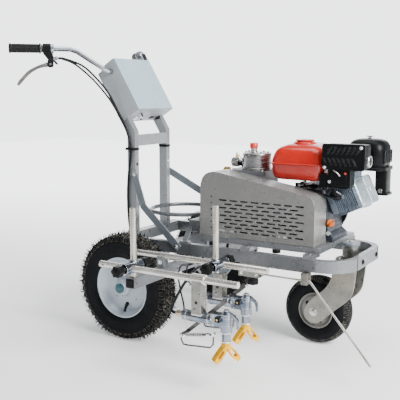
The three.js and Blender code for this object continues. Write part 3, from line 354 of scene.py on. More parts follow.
class Form:
    """Closed shells gathered into one mesh, each with a material index."""

    def __init__(self):
        self.points, self.faces, self.index = [], [], []

    def shell(self, points, faces, paint=0):
        start = len(self.points)
        self.points += [Vector(p) for p in points]
        self.faces += [[start + i for i in face] for face in faces]
        self.index += [paint] * len(faces)
        return self

    def rings(self, rings, paint=0, closed=False, caps=True):
        """Skins a row of rings with the same number of points."""
        count = len(rings[0])
        points = [p for ring in rings for p in ring]
        faces = []
        last = len(rings) if closed else len(rings) - 1
        for i in range(last):
            a, b = i * count, ((i + 1) % len(rings)) * count
            faces += [[a + k, a + (k + 1) % count, b + (k + 1) % count, b + k] for k in range(count)]
        if caps and not closed:
            faces += [list(range(count)), [(len(rings) - 1) * count + k for k in range(count)]]
        return self.shell(points, faces, paint)

    def revolve(self, profile, at, axis="y", steps=48, paint=0, closed=True):
        """Turns (radius, height) points round an axis; an open profile has its two ends on the axis."""
        turn = circle(steps)

        def spot(radius, height, c, s):
            local = {"x": (height, radius * c, radius * s), "y": (radius * c, height, radius * s),
                     "z": (radius * c, radius * s, height)}[axis]
            return Vector(at) + Vector(local)

        if closed:
            return self.rings([[spot(r, h, c, s) for c, s in turn] for r, h in profile], paint, closed=True)
        inner = [p for p in profile if p[0] > 0]
        self.rings([[spot(r, h, c, s) for c, s in turn] for r, h in inner], paint)
        return self

    def tube(self, path, radius, sides=10, paint=0, squash=1.0):
        path = [Vector(p) for p in path]
        heads = []
        for i in range(len(path)):
            before, after = path[max(0, i - 1)], path[min(len(path) - 1, i + 1)]
            heads.append((after - before).normalized())
        side = heads[0].orthogonal().normalized()
        rings = []
        for i, (p, head) in enumerate(zip(path, heads)):
            side = (side - head * side.dot(head)).normalized()
            across = head.cross(side)
            r = radius[i] if isinstance(radius, (list, tuple)) else radius
            rings.append([p + side * r * c + across * r * squash * s for c, s in circle(sides)])
        return self.rings(rings, paint)

    def rod(self, a, b, radius, sides=20, paint=0, end=None, chamfer=0.0):
        a, b = Vector(a), Vector(b)
        end = radius if end is None else end
        if not chamfer:
            return self.tube([a, b], [radius, end], sides, paint)
        head = (b - a).normalized()
        path = [a, a + head * chamfer, b - head * chamfer, b]
        return self.tube(path, [radius - chamfer, radius, end, end - chamfer], sides, paint)

    def box(self, low, high, paint=0, turn=None):
        """A box from low to high; turn is (matrix, centre)."""
        points = [Vector((x, y, z)) for x in (low[0], high[0]) for y in (low[1], high[1]) for z in (low[2],
                                                                                                    high[2])]
        if turn:
            points = [turn[0] @ (p - turn[1]) + turn[1] for p in points]
        faces = [[0, 1, 3, 2], [4, 6, 7, 5], [0, 4, 5, 1], [2, 3, 7, 6], [0, 2, 6, 4], [1, 5, 7, 3]]
        return self.shell(points, faces, paint)

    def prism(self, outline, axis, low, high, paint=0):
        """outline is (a, b) pairs across the axis: x takes (y, z), y takes (x, z) and z takes (x, y)."""
        def spot(a, b, d):
            return {"x": (d, a, b), "y": (a, d, b), "z": (a, b, d)}[axis]
        return self.rings([[spot(a, b, d) for a, b in outline] for d in sorted((low, high))], paint)

    def bolt(self, at, axis, radius=6.0, height=5.0, paint=0, washer=True, sides=6, dome=False):
        """A bolt head standing on a face at a point, along a direction."""
        at, head = Vector(at), Vector(axis).normalized()
        base = at - head * 1.0
        if washer:
            self.rod(base, at + head * 1.2, radius * 1.45, 24, paint, chamfer=0.3)
            at = at + head * 1.2
        if dome:
            steps = [(1.0, 0.0), (0.96, 0.35), (0.8, 0.7), (0.5, 0.93), (0.15, 1.0)]
            path = [at + head * (height * h) for _, h in steps]
            return self.tube([base, *path], [radius, *[radius * r for r, _ in steps]], 24, paint)
        path = [base, at + head * height * 0.8, at + head * height]
        return self.tube(path, [radius, radius, radius * 0.86], sides, paint)

    def fluted(self, at, profile, shape, steps, paint=0, along=(0, 0, 1), across=(1, 0, 0)):
        """(radius, height) rings round an axis at a point; shape(radius, k) is each point's share of the radius."""
        along, across = Vector(along), Vector(across)
        up = along.cross(across)
        return self.rings([[Vector(at) + along * height + (across * c + up * s) * radius * shape(radius, k)
                            for k, (c, s) in enumerate(circle(steps))] for radius, height in profile], paint)

    def make(self, name, paints, body, bevel=0.0, sharp=40.0, slot=None, replaces=(), change=None):
        """Makes the mesh, in metres, and ties it to a body; change maps each point to the machine first."""
        mesh = bpy.data.meshes.new(name)
        points = [change(p) if change else p for p in self.points]
        mesh.from_pydata([place(p) for p in points], [], self.faces)
        for paint in paints if isinstance(paints, (list, tuple)) else [paints]:
            mesh.materials.append(paint)
        mesh.polygons.foreach_set("material_index", self.index)
        shape = bmesh.new()
        shape.from_mesh(mesh)
        bmesh.ops.recalc_face_normals(shape, faces=shape.faces)
        shape.to_mesh(mesh)
        shape.free()
        mesh.polygons.foreach_set("use_smooth", [True] * len(mesh.polygons))
        mesh.set_sharp_from_angle(angle=math.radians(sharp))
        thing = bpy.data.objects.new(name, mesh)
        bpy.context.scene.collection.objects.link(thing)
        if bevel:
            soften(thing, bevel, sharp)
        if body:
            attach(thing, body)
        if replaces:
            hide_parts(*replaces)
        return thing


def soften(thing, width, angle=38.0):
    rounding = thing.modifiers.new("edge_round", "BEVEL")
    rounding.width = width / 1000
    rounding.segments = 2
    rounding.limit_method = "ANGLE"
    rounding.angle_limit = math.radians(angle)
    rounding.use_clamp_overlap = True
    even = thing.modifiers.new("even_shading", "WEIGHTED_NORMAL")
    even.keep_sharp = False


def curve_through(points, steps):
    """A smooth line through the points, resampled evenly."""
    points = [Vector(p) for p in points]
    ends = [points[0] * 2 - points[1], *points, points[-1] * 2 - points[-2]]
    line = []
    for i in range(1, len(ends) - 2):
        p0, p1, p2, p3 = ends[i - 1:i + 3]
        for k in range(12):
            t = k / 12
            line.append(0.5 * ((2 * p1) + (p2 - p0) * t + (2 * p0 - 5 * p1 + 4 * p2 - p3) * t * t
                               + (3 * p1 - p0 - 3 * p2 + p3) * t ** 3))
    line.append(points[-1])
    lengths = [0.0]
    for a, b in zip(line, line[1:]):
        lengths.append(lengths[-1] + (b - a).length)
    made, at = [], 0
    for k in range(steps + 1):
        want = lengths[-1] * k / steps
        while at < len(line) - 2 and lengths[at + 1] < want:
            at += 1
        share = (want - lengths[at]) / max(1e-6, lengths[at + 1] - lengths[at])
        made.append(line[at].lerp(line[at + 1], min(1.0, share)))
    return made


def round_rect(x0, x1, y0, y1, radius, steps=8):
    """A rounded rectangle, counter-clockwise, the same count of points for any size."""
    made = []
    for cx, cy, start in ((x1 - radius, y1 - radius, 0), (x0 + radius, y1 - radius, 90),
                          (x0 + radius, y0 + radius, 180),
                          (x1 - radius, y0 + radius, 270)):
        for k in range(steps + 1):
            angle = math.radians(start + 90 * k / steps)
            made.append((cx + radius * math.cos(angle), cy + radius * math.sin(angle)))
    return made


# ------------------------------------------------------------------ finishes of the CAD nodes
finishes = {
    dark_paint: "brace_right brace_left",
    zinc: "castor_head lever_right lever_left pointer_clamp",
    box_paint: "control_box", cover_paint: "box_cover", chrome: "handlebar", guard_paint: "belt_guard",
    black_plastic: "box_switch recoil_starter lock_knob_1a lock_knob_1b lock_knob_2a lock_knob_2b",
    cast_iron: "engine_pulley pump_pulley", cable_skin: "drive_belt", pump_paint: "pump_body",
    case_metal: "engine_block",
    bow_steel: "trigger_1 trigger_2", rocker_zinc: "valve_cover",
    # The rails take the darker copy of the frame paint, which paints in their shade.
    shaded_frame_paint: "rail_right rail_left", upright_paint: "upright",
    blue_zinc: "cross_clamp_1 cross_clamp_2 gun_1 gun_2",
    frame_paint: "front_bow rear_axle deck pail_rack gun_arm",
    rod_steel: "gun_rod_1 pointer_rod", post_steel: "gun_post_2"
}
softness = {"lever_right": 1.6, "lever_left": 1.6, "valve_cover": 1.6, "deck": 0.9, "front_bow": 1.6,
            "rail_right": 1.6, "rail_left": 1.6, "upright": 1.2, "belt_guard": 0.5,
            "gun_arm": 1.4, "lock_knob_1a": 1.8, "lock_knob_1b": 1.8, "lock_knob_2a": 1.8,
            "lock_knob_2b": 1.8,
            "gun_1": 1.2, "gun_2": 1.2}
for finish, names in finishes.items():
    for name in names.split():
        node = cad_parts[name]
        node.data.materials.clear()
        node.data.materials.append(finish)
        node.data.polygons.foreach_set("material_index", [0] * len(node.data.polygons))
        node.data.polygons.foreach_set("use_smooth", [True] * len(node.data.polygons))
        weld = node.modifiers.new("weld", "WELD")
        weld.merge_threshold = 0.00001
        flat = node.modifiers.new("flat_faces", "DECIMATE")
        flat.decimate_type = "DISSOLVE"
        flat.angle_limit = math.radians(1.5)
        soften(node, softness.get(name, 0.8))


# ------------------------------------------------------------------ wheels
def arc_block(form, section, middle, half, centre, steps=3, skew=0.0, paint=0):
    """A (radius, y) section swept over part of a turn about the wheel's axis."""
    rings = []
    for k in range(steps + 1):
        turn = middle + half * (2 * k / steps - 1)
        rings.append([(centre[0] + r * math.cos(turn + skew * y), centre[1] + y,
                       centre[2] + r * math.sin(turn + skew * y))
                      for r, y in section])
    form.rings(rings, paint)


def rubber_hair(form, centre, turn, radius, y, length, lean, paint=0):
    """A moulding hair left standing on a new tyre."""
    out = Vector((math.cos(turn), 0, math.sin(turn)))
    foot = Vector(centre) + out * (radius - 1) + Vector((0, y, 0))
    aim = (out + Vector((random.uniform(-0.25, 0.25), lean, random.uniform(-0.25, 0.25)))).normalized()
    tip = foot + aim * length
    if tip.z < 1.0 or (foot + aim * length * 0.5).z < 1.0:
        return
    bow = foot.lerp(tip, 0.55) + Vector((random.uniform(-0.8, 0.8), 0, random.uniform(-0.8, 0.8)))
    form.tube([foot, bow, tip], [1.9, 1.4, 0.8], 4, paint)


def mirrored(half):
    """A (radius, y) profile for one side, closed by its mirror image."""
    return half + [(r, -y) for r, y in reversed(half) if y != 0]


def rear_wheel(side):
    """Tyre, rim, hub cap and valve of the wheel on one side of the axle."""
    label = "right" if side < 0 else "left"
    centre = (0, side * 340, 204)
    body = f"{label}_wheel"
    tyre = Form()
    wall = [(198.4, 0), (198.2, 27), (197, 33), (193, 38), (186, 42.3), (180, 43.8), (175, 45.0), (172, 45.2),
            (169.5, 44.4),
            (160, 44.8), (150, 44.6), (141, 43.6), (136, 43.4), (133, 42.0), (127, 40.5), (122, 37.5),
            (118.5, 34), (117.2, 30)]
    tyre.revolve(mirrored(wall), centre, "y", 120, 0)
    blocks = 46
    pitch = math.pi / blocks
    for k in range(blocks):
        turn = 2 * math.pi * k / blocks
        for y0, y1, offset, skew in ((3.0, 15.5, 0.0, 0.0025), (-15.5, -3.0, 1.0, 0.0025),
                                     (18.5, 29.5, 0.7, -0.002),
                                     (-29.5, -18.5, 0.3, -0.002)):
            section = [(196.5, y0), (203.2, y0 + 0.8), (203.9, y0 + 1.6), (203.9, y1 - 1.6),
                       (203.2, y1 - 0.8), (196.5, y1)]
            arc_block(tyre, section, turn + offset * pitch, pitch * 0.68, centre, 3, skew, 1)
        for out in (-1, 1):
            lug = [(196, 31.5), (202.6, 32), (202.4, 35), (198.5, 39.5), (191, 43.4), (182.5, 45.2),
                   (180.5, 43.5), (186, 41)]
            arc_block(tyre, [(r, out * y) for r, y in lug], turn + (0.5 + 0.25 * out) * pitch, pitch * 0.62,
                      centre, 2, 0.0, 1)
            rib = [(150, 44.0), (151, 45.2), (168, 45.3), (169, 44.0)]
            arc_block(tyre, [(r, out * y) for r, y in rib], turn, 0.0035, centre, 1, 0.0, 0)
    hairs = 104
    for k in range(hairs):
        turn = 2 * math.pi * (k + random.uniform(-0.2, 0.2)) / hairs
        for radius, y, lean in ((190, 43, 0.75), (201, 34.5, 0.30), (203.5, 20, 0.08)):
            for out in (-1, 1):
                rubber_hair(tyre, centre, turn + random.uniform(-0.03, 0.03), radius, out * y,
                            random.uniform(10.0, 18.0), out * lean, 0)
    for radius, y in ((139, 43.8), (176, 45.1)):
        for out in (-1, 1):
            for k in range(26):
                turn = 2 * math.pi * (k + 0.37) / 26
                rubber_hair(tyre, centre, turn, radius, out * y, random.uniform(2.5, 5.0), out * 3.0, 0)
    tyre.make(f"tyre_tread_{label}", [tyre_rubber, tread_rubber], body, slot="tyre",
              replaces=[f"tyre_{label}"], sharp=32)
    face = [(116.6, 28), (117.4, 34), (119.2, 36.8), (118.8, 39.2), (116.4, 40.6), (113.4, 39.6), (111.4, 36),
            (109.6, 27),
            (106, 21.5), (102.4, 17), (99.2, 9), (94, 5.5), (84, 5.0), (70, 6.0), (56, 8.0), (47, 9.5),
            (41, 13), (36, 17.5), (33.0, 23),
            (31.6, 31), (29.6, 34), (23.6, 35), (22.6, 46), (21.4, 47), (18.4, 46.6), (18.4, 33), (10.4, 33),
            (10.4, -44.5), (21, -45.8), (23.6, -43), (24.4, -8),
            (30, -2.5), (60, 0.0), (92, -1.0), (98, -5), (103, -17), (108, -26), (110.6, -35.5),
            (113.4, -39.6), (116.4, -40.6),
            (118.8, -39.2), (119.2, -36.8), (117.4, -34), (116.6, -28)]
    rim = Form().revolve([(r, side * h) for r, h in face], centre, "y", 96, 0)
    for a, b in circle(4, 66, 1 / 8):
        spot = Vector(centre) + Vector((a, side * 6.2, b))
        # Dark discs paint the shade in the rim's four holes.
        rim.rod(spot - Vector((0, side * 2, 0)), spot + Vector((0, side * 0.7, 0)), 3.4, 20, 1)
    rim.make(f"rim_dish_{label}", [wheel_paint, marks_and_hole_shade], body, slot="wheel_paint",
             replaces=[f"rim_{label}"], sharp=50)
    cap = [(0, 55.6), (9, 55.4), (10.2, 54.2), (13.5, 54.2), (14.6, 55.2), (17.2, 54.6), (19.2, 52.4),
           (19.6, 46.0), (17.6, 45.6), (0, 45.6)]
    hub = Form().revolve([(r, side * h) for r, h in cap if r > 0], centre, "y", 48, 0, closed=False)
    for a, b in circle(6, 6):
        spot = Vector(centre) + Vector((a, side * 55.2, b))
        hub.rod(spot - Vector((0, side * 1, 0)), spot + Vector((0, side * 0.8, 0)), 1.3, 12, 0)
    hub.make(f"hub_cap_{label}", teal_cap, body, bevel=0.3, slot="wheel_paint")
    stem_at = Vector(centre) + Vector((4, side * 4, -70))
    valve = Form().tube([stem_at, stem_at + Vector((0.5, side * 7, -3)),
                         stem_at + Vector((2, side * 15, -11)),
                         stem_at + Vector((2.6, side * 18.5, -15)), stem_at + Vector((3.4, side * 24, -22))],
                        [8.4, 6.8, 5.8, 4.8, 4.6], 16, 0)
    valve.rod(stem_at + Vector((3.4, side * 24, -22)), stem_at + Vector((4.0, side * 27, -26)), 5.0, 12,
              chamfer=0.6)
    valve.make(f"valve_stem_{label}", black_plastic, body, slot="black_plastic")
    nut = Form().revolve([(9.9, side * 35), (9.9, side * 40.6), (8.2, side * 41.8)], centre, "y", 24, 0,
                         closed=False)
    nut.make(f"shaft_end_{label}", zinc, "root", slot="zinc_plate")
    seal = Form().revolve([(16.4, -side * 47.4), (22.4, -side * 47.4), (22.4, -side * 46.2),
                           (16.4, -side * 46.2)], centre, "y", 36, 0)
    seal.make(f"bearing_seal_{label}", black_plastic, body, slot="black_plastic")


rear_wheel(-1)
rear_wheel(1)


SWIVEL_X = 778
CASTOR_X, CASTOR_Z = 659, 130


def castor_wheel():
    """The castor's wheel, axle nuts, fork and swivel race."""
    centre = (CASTOR_X, 0, CASTOR_Z)
    tyre = Form()
    wall = [(129.8, 0), (129.7, 5.6), (128.2, 6.4), (128.2, 8.4), (129.6, 9.2), (129.0, 15), (127.4, 15.8),
            (127.2, 17.6),
            (128.4, 18.4), (126.4, 24), (123, 29.5), (118, 34.5), (112, 38.4), (104, 41.0), (98, 41.6),
            (95.6, 42.0), (93, 41.2),
            (86, 40.6), (80, 38.6), (75, 36), (70.5, 33), (68.2, 30)]
    tyre.revolve(mirrored(wall), centre, "y", 120, 0)
    blocks = 84
    pitch = math.pi / blocks
    for k in range(blocks):
        turn = 2 * math.pi * k / blocks
        for y, wide, radius, offset in ((0, 4.6, 129.4, 0), (12.1, 2.4, 129.0, 1), (-12.1, 2.4, 129.0, 1),
                                        (21.4, 2.3, 127.0, 0),
                                        (-21.4, 2.3, 127.0, 0)):
            section = [(radius - 2.4, y - wide), (radius + 0.5, y - wide + 0.4),
                       (radius + 0.5, y + wide - 0.4), (radius - 2.4, y + wide)]
            arc_block(tyre, section, turn + offset * pitch, pitch * 0.62, centre, 1, 0.0, 1)
        for out in (-1, 1):
            lug = [(123, 28.0), (125.4, 26.6), (124.6, 30.2), (119.6, 34.8), (115, 37.6), (113.5, 36.5)]
            arc_block(tyre, [(r, out * y) for r, y in lug], turn, pitch * 0.5, centre, 1, 0.0, 1)
    tyre.make("castor_tread", [tyre_rubber, tread_rubber], "front_wheel", slot="tyre",
              replaces=["castor_tyre"], sharp=32)
    half = [(67.0, 26), (67.4, 31), (69.2, 33.2), (68.4, 35.0), (65.6, 35.2), (62.6, 33.4), (60.6, 30),
            (58.6, 27.5), (55, 25.8),
            (50, 25.0), (40, 25.0), (32, 25.4), (27.6, 27), (25.4, 31), (24.2, 38), (22.2, 45.8), (8.6, 46.0)]
    rim = Form().revolve([(67.0, 0)] + half + [(r, -h) for r, h in reversed(half)], centre, "y", 80, 0)
    for side in (-1, 1):
        for a, b in circle(5, 44, 0.21):
            spot = Vector(centre) + Vector((a, side * 25.0, b))
            # Near-black discs paint the shade in the rim's holes.
            rim.rod(spot - Vector((0, side * 3, 0)), spot + Vector((0, side * 0.35, 0)), 7.2, 24, 1)
            rim.revolve([(7.2, -1), (9.0, 0.2), (8.0, 1.3), (7.0, 0.6)], spot, "y", 24, 0)
    rim.make("castor_wheel_rim", [castor_paint, painted_gap_shade], "front_wheel", slot="wheel_paint",
             replaces=["castor_rim"], sharp=50)
    axle = Form()
    for side in (-1, 1):
        base = Vector((CASTOR_X, side * 56.1, CASTOR_Z))
        out = Vector((0, side, 0))
        axle.rod(base, base + out * 2.4, 15.5, 32, 0, chamfer=0.5)
        axle.tube([base + out * 2.2, base + out * 9.6, base + out * 11.2], [12.0, 12.0, 10.4], 6, 0)
        axle.tube([base + out * 9, base + out * 13.4, base + out * 14.4], [7.6, 7.6, 6.4], 20, 0)
    axle.make("castor_axle_nuts", brushed, "castor", slot="zinc_plate", sharp=30)
    plate = [(736, 316), (822, 316), (820, 288), (813, 226), (796, 195), (735, 141), (682, 90), (648, 84),
             (622, 106), (622, 136), (646, 178),
             (700, 222), (725, 262)]
    # Cutting every corner twice rounds the outline.
    for _ in range(2):
        plate = [tuple(Vector(a).lerp(Vector(b), share)) for a,
                 b in zip(plate, plate[1:] + plate[:1]) for share in (0.2, 0.8)]
    fork = Form()
    for side in (-1, 1):
        fork.prism(plate, "y", side * 50, side * 56)
    fork.box((742, -50.5, 304), (817, 50.5, 315.8))
    fork.rod((SWIVEL_X, 0, 315), (SWIVEL_X, 0, 324.4), 26, 48)
    fork.rod((CASTOR_X, -66, CASTOR_Z), (CASTOR_X, 66, CASTOR_Z), 8, 24)
    # The fork plates take the dimmer copy of zinc, which paints in the bow's shade.
    fork.make("castor_fork_plates", shaded_fork_zinc, "castor", bevel=1.2, slot="zinc_plate",
              replaces=["castor_fork"])
    bearing = Form()
    bearing.revolve([(26.6, 316.4), (42, 316.4), (44, 318.4), (44, 322.4), (42, 324.2), (26.6, 324.2)],
                    (SWIVEL_X, 0, 0), "z", 56, 0)
    bearing.make("castor_race", zinc, "castor", slot="zinc_plate", sharp=30)


castor_wheel()


# ------------------------------------------------------------------ castor head, bow and deck details
head = Form()
head.revolve([(31.0, 333.2), (52, 333.2), (54, 335), (54, 339.4), (52, 341.2), (31.0, 341.2)],
             (SWIVEL_X, 0, 0), "z", 56, 0)
for a, b in circle(4, 44, 1 / 8):
    head.bolt((SWIVEL_X + a, b, 341.2), (0, 0, 1), 4.6, 3.6, 0)
head.revolve([(30.2 + 3.2 * a, 342.4 + 2.6 * b) for a, b in circle(8)], (SWIVEL_X, 0, 0), "z", 56, 0)
head.make("castor_head_flange", zinc, "root", slot="zinc_plate", sharp=30)
cap = Form().revolve([(33.5, 392), (34.2, 394), (34.2, 401), (32.6, 403.2), (24, 404.0), (10, 404.2)],
                     (SWIVEL_X, 0, 0), "z", 48, 0, closed=False)
cap.bolt((SWIVEL_X, 0, 404.2), (0, 0, 1), 7.0, 4.2, 1)
cap.make("castor_head_cap", [dark_paint, zinc], "root", slot="frame_paint", sharp=30)

mounts = Form()
for x in (292, 560):
    for y in (-176.4, 176.4):
        mounts.revolve([(15, 370.6), (16.4, 372.5), (15.2, 376.5), (16.4, 380.5), (15, 382.6)], (x, y, 0),
                       "z", 32, 0, closed=False)
        mounts.rod((x, y, 320.5), (x, y, 324.6), 8, 6, 1)
for x in (450, 700):
    for side in (-1, 1):
        mounts.bolt((x, side * 198, 383.2), (0, 0, 1), 6.0, 4.2, 1)
mounts.make("deck_mounts", [black_plastic, zinc], "root", slot="black_plastic", sharp=34)


# ------------------------------------------------------------------ handle end
BEND = {"x": -337, "y": 240, "z": 1125}
CABLE_UP = -38  # the lever cable's height in the handle's own frame


def on_handle(side):
    """Maps (along, across, height) at one handle to the machine: along runs from the bend out to the handle's end."""
    turn = Matrix.Rotation(math.radians(135 * side), 3, "Z")
    return lambda p: turn @ Vector(p) + Vector((BEND["x"], side * BEND["y"], BEND["z"]))


def handle_point(side, along, height):
    return on_handle(side)(Vector((along, 0, height)))


for side, label in ((-1, "right"), (1, "left")):
    spot = on_handle(side)
    profile = [(11.7, 130.4), (19.6, 130.4), (20.6, 132.2), (20.4, 135.0), (17.6, 137.4)]
    for k in range(19):
        at = 139.5 + k * 5.4
        profile += [(16.4, at), (17.4, at + 0.8), (17.4, at + 3.0), (16.4, at + 3.8)]
    profile += [(17.0, 244), (19.4, 246.4), (19.6, 250.5), (18.0, 254.0), (13.5, 255.2), (6, 255.4)]
    grip = Form().revolve(profile, (0, 0, 0), "x", 40, 0, closed=False)
    for a, b in circle(10, 17.2):
        grip.tube([(140, a, b), (241, a, b)], 1.1, 6)
    grip.revolve([(11.9, 127.6), (18.6, 127.6), (19.2, 128.2), (19.2, 130.0), (11.9, 130.0)], (0, 0, 0), "x",
                 40, 1)
    grip.make(f"grip_rubber_{label}", [grip_rubber, zinc], "root", slot="grip_rubber",
              replaces=[f"grip_{label}"], change=spot, sharp=35)
    perch = Form()
    perch.revolve([(11.2, 90), (18.0, 90), (20.0, 92), (20.0, 120), (18.0, 122), (11.2, 122)], (0, 0, 0), "x",
                  36, 0)
    perch.prism([(80.5, -47), (100, -47), (121, -20), (121, -8), (92, -8), (80.5, -30)], "y", -13.2, 13.2)
    perch.prism([(76, -44), (84, -46), (72, -62), (64, -64), (63, -58)], "y", -4.5, 4.5)
    for out in (-1, 1):
        perch.prism(round_rect(80.5, 104.5, -75, -42, 8), "y", out * 7.2, out * 13.4)
    perch.rod((94, -15.4, -62), (94, 15.4, -62), 5.2, 6, 1)
    perch.revolve([(3.4, 66), (7.4, 66), (8.2, 67), (8.2, 72), (7.4, 73), (3.4, 73)], (0, 0, CABLE_UP), "x",
                  24, 1)
    for a, b in circle(12, 7.6):
        perch.box((66.4, a - 0.7, CABLE_UP + b - 0.7), (72.6, a + 0.7, CABLE_UP + b + 0.7), 1)
    perch.rod((59.8, 0, CABLE_UP), (84, 0, CABLE_UP), 4.9, 20, 1)
    perch.rod((47, 0, CABLE_UP), (61, 0, CABLE_UP), 4.3, 16, 2, end=5.2, chamfer=0.4)
    perch.make(f"lever_perch_{label}", [satin_black, zinc, cable_skin], "root", bevel=0.7,
               slot="black_plastic", change=spot)
    stop = Form().revolve([(12.2, 122.5), (14.6, 122.5), (15.2, 123.4), (15.2, 126), (14.4, 127.2),
                           (12.2, 127.2)], (0, 0, 0), "x", 32, 0)
    stop.make(f"handle_collar_{label}", grip_rubber, "root", slot="grip_rubber", change=spot, sharp=34)


def cable(name, points, radius, steps, slot="cable_sheath", sides=12, replaces=()):
    """A cable or hose that stays on the frame."""
    line = curve_through(points, steps)
    Form().tube(line, radius, sides).make(name, cable_skin, "root", slot=slot, replaces=replaces, sharp=50)


def bridge(name, line, radius, sides, slot, paint=cable_skin, sharp=50):
    """A line that stretches between two bodies."""
    thing = Form().tube(line, radius, sides).make(name, paint, None, slot=slot, sharp=sharp)
    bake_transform(thing)


def arm_line(name, line, split, radius, sides, slot):
    """A line from the frame to a gun, in two bridges that meet at the point of it nearest to split, on the clamp."""
    cut_at = min(range(len(line)), key=lambda k: (line[k] - Vector(split)).length)
    bridge(f"{name}_slack", line[:cut_at + 1], radius, sides, slot)
    bridge(f"{name}_end", line[cut_at:], radius, sides, slot)


LOOM_Y = -134.5  # the cables' side of the right post
right_a = [handle_point(-1, 59.7, CABLE_UP), handle_point(-1, 38, -39), (-310, -218, 1058),
           (-262, -185, 1005), (-222, -160, 945),
           (-190, -146, 880), (-156, LOOM_Y - 2, 812), (-138, LOOM_Y, 760), (-134, LOOM_Y, 715)]
right_b = [handle_point(-1, 48, -39.5), (-335, -240, 1066), (-290, -208, 1022), (-255, -180, 975),
           (-218, -158, 920),
           (-186, -145, 862), (-152, LOOM_Y - 2, 800), (-137, LOOM_Y - 1, 752), (-134, LOOM_Y, 705)]
left_run = [handle_point(1, 59.7, CABLE_UP), handle_point(1, 38, -39), (-330, 205, 1010), (-318, 120, 950),
            (-290, 0, 900),
            (-226, -96, 866), (-181, -134, 840), (-154, LOOM_Y - 2, 800), (-139, LOOM_Y, 755),
            (-134, LOOM_Y, 700)]
loom = [(-140, LOOM_Y, 770), (-134, LOOM_Y, 730), (-134, LOOM_Y, 690), (-141, LOOM_Y, 640),
        (-149, LOOM_Y, 560), (-150, LOOM_Y, 480), (-146, LOOM_Y - 2, 440),
        (-126, -156, 402), (-92, -176, 380), (-55, -181, 356), (20, -181, 349), (120, -181, 349),
        (222, -181, 348),
        (245, -181, 339), (252, -183, 323), (253, -191, 313), (253, -206, 310), (251, -225, 308),
        (249, -256, 306), (248, -290, 306)]
cable("cable_right_a", right_a, 4.2, 60, replaces=["control_cables"])
cable("cable_right_b", right_b, 4.0, 56)
cable("cable_left", left_run, 4.2, 70)
for k, (dx, dy) in enumerate(((0, -1.9), (1.7, 1.5), (-1.7, 1.5))):
    cable(f"loom_strand_{k}", [(x + dx, y + dy, z + (dx if x > -100 else 0)) for x, y, z in loom], 3.3, 90)

ties = Form()
for low, high in ((-140.6, -100.2), (100.2, 127.8)):
    band = [round_rect(-154.9 - out, -113.1 + out, low - out, high + out, 3 + out, 4) for out in (0, 1.6)]
    ties.rings([[(x, y, z) for x, y in band[ring]] for ring,
                z in ((0, 713.5), (1, 713.5), (1, 723.5), (0, 723.5))], 0, closed=True)
ties.make("cable_ties", black_plastic, "root", slot="black_plastic", sharp=30)

# The leaning control box has its own frame, tilted about its lower rear edge.
LEAN = math.radians(31.5)
BOX_FOOT = (-97, 882)
NUTS_X = -70


def on_box(p):
    x, y, z = p
    return Vector((BOX_FOOT[0] + x * math.cos(LEAN) - z * math.sin(LEAN), y,
                   BOX_FOOT[1] + x * math.sin(LEAN) + z * math.cos(LEAN)))


panels = Form()
for side in (-1, 1):
    panels.prism([(-98, 0), (-0.6, 0), (-0.6, 243), (-70, 243), (-98, 205)], "y", side * 126.9, side * 128.3)
panels.box((-98, -128.0, -1.9), (-2, 128.0, -0.5))
panels.make("box_side_panels", box_paint, "root", bevel=0.5, slot="box_paint", change=on_box)

fittings = Form()
for y in (-70, -34):
    fittings.revolve([(6.2, -1.9), (11.5, -1.9), (11.5, -3.7), (6.2, -3.7)], (NUTS_X, y, 0), "z", 28, 1)
    fittings.tube([(NUTS_X, y, -2), (NUTS_X, y, -6.9), (NUTS_X, y, -7.9)], [8.2, 8.2, 7.0], 6, 1)
fittings.rod((NUTS_X, -34, -6), (NUTS_X, -34, -12), 4.4, 20, 0, chamfer=0.8)
fittings.prism(round_rect(NUTS_X - 10, NUTS_X + 10, 34, 62, 3), "z", -3.2, -1.5, 0)
fittings.prism(round_rect(NUTS_X - 6.5, NUTS_X + 6.5, 38, 58, 2), "z", -5.4, -2.8, 2)
fittings.revolve([(7, -1.7), (12, -1.7), (13, -3), (12, -7), (9, -10), (7, -10)], (NUTS_X, 92, 0), "z", 28, 0)
# Grommets where the handlebar goes through the box's sides.
dx, dz = -230 - BOX_FOOT[0], 1035 - BOX_FOOT[1]
bar_at = (dx * math.cos(LEAN) + dz * math.sin(LEAN), 0, dz * math.cos(LEAN) - dx * math.sin(LEAN))
grommet = [(11.2, 122), (17.6, 122), (18.6, 124.6), (17.0, 127.2), (13.4, 128.2), (11.2, 128.0)]
for side in (-1, 1):
    fittings.revolve([(r, side * y) for r, y in grommet], bar_at, "y", 36, 0)
fittings.make("box_fittings", [black_plastic, white_screw, satin_black], "root", bevel=0.3,
              slot="black_plastic", change=on_box)
seam = Form()
for y in (-122.2, 121.4):
    seam.box((-1.9, y, 1.0), (0.2, y + 0.8, 242))
seam.prism(round_rect(-55, -8, -112, 112, 6), "z", 242.6, 243.5)
for x in (-48, -15):
    for y in (-100, 100):
        seam.bolt((x, y, 243.4), (0, 0, 1), 3.6, 2.2, 0, washer=False, dome=True)
seam.make("box_top_plate", box_paint, "root", bevel=0.3, slot="box_paint", change=on_box)

frame_bolts = Form()
for x, y, z, axis, r in ((-118, -131.9, 612, (0, -1, 0), 5.0), (-122, 131.9, 607, (0, 1, 0), 5.0),
                         (150, -220.4, 354, (0, -1, 0), 6.0),
                         (270, 132.0, 420, (0, 1, 0), 6.0), (-113.6, 114, 652, (1, 0, 0), 4.2)):
    frame_bolts.bolt((x, y, z), axis, r, r * 0.7, 0, dome=r < 4.6)
# A near-black disc paints the shade in a hole.
frame_bolts.rod((-114.5, -114, 655), (-112.9, -114, 655), 6.5, 24, 1)
frame_bolts.make("frame_bolts", [white_screw, painted_gap_shade], "root", slot="zinc_plate", sharp=30)
caps = Form()
for y in (-202.5, 202.5):
    caps.prism(round_rect(y - 12, y + 12, 325.6, 369.4, 3, 4), "x", -157.5, -153.6)
caps.make("rail_caps", black_plastic, "root", bevel=0.8, slot="black_plastic")


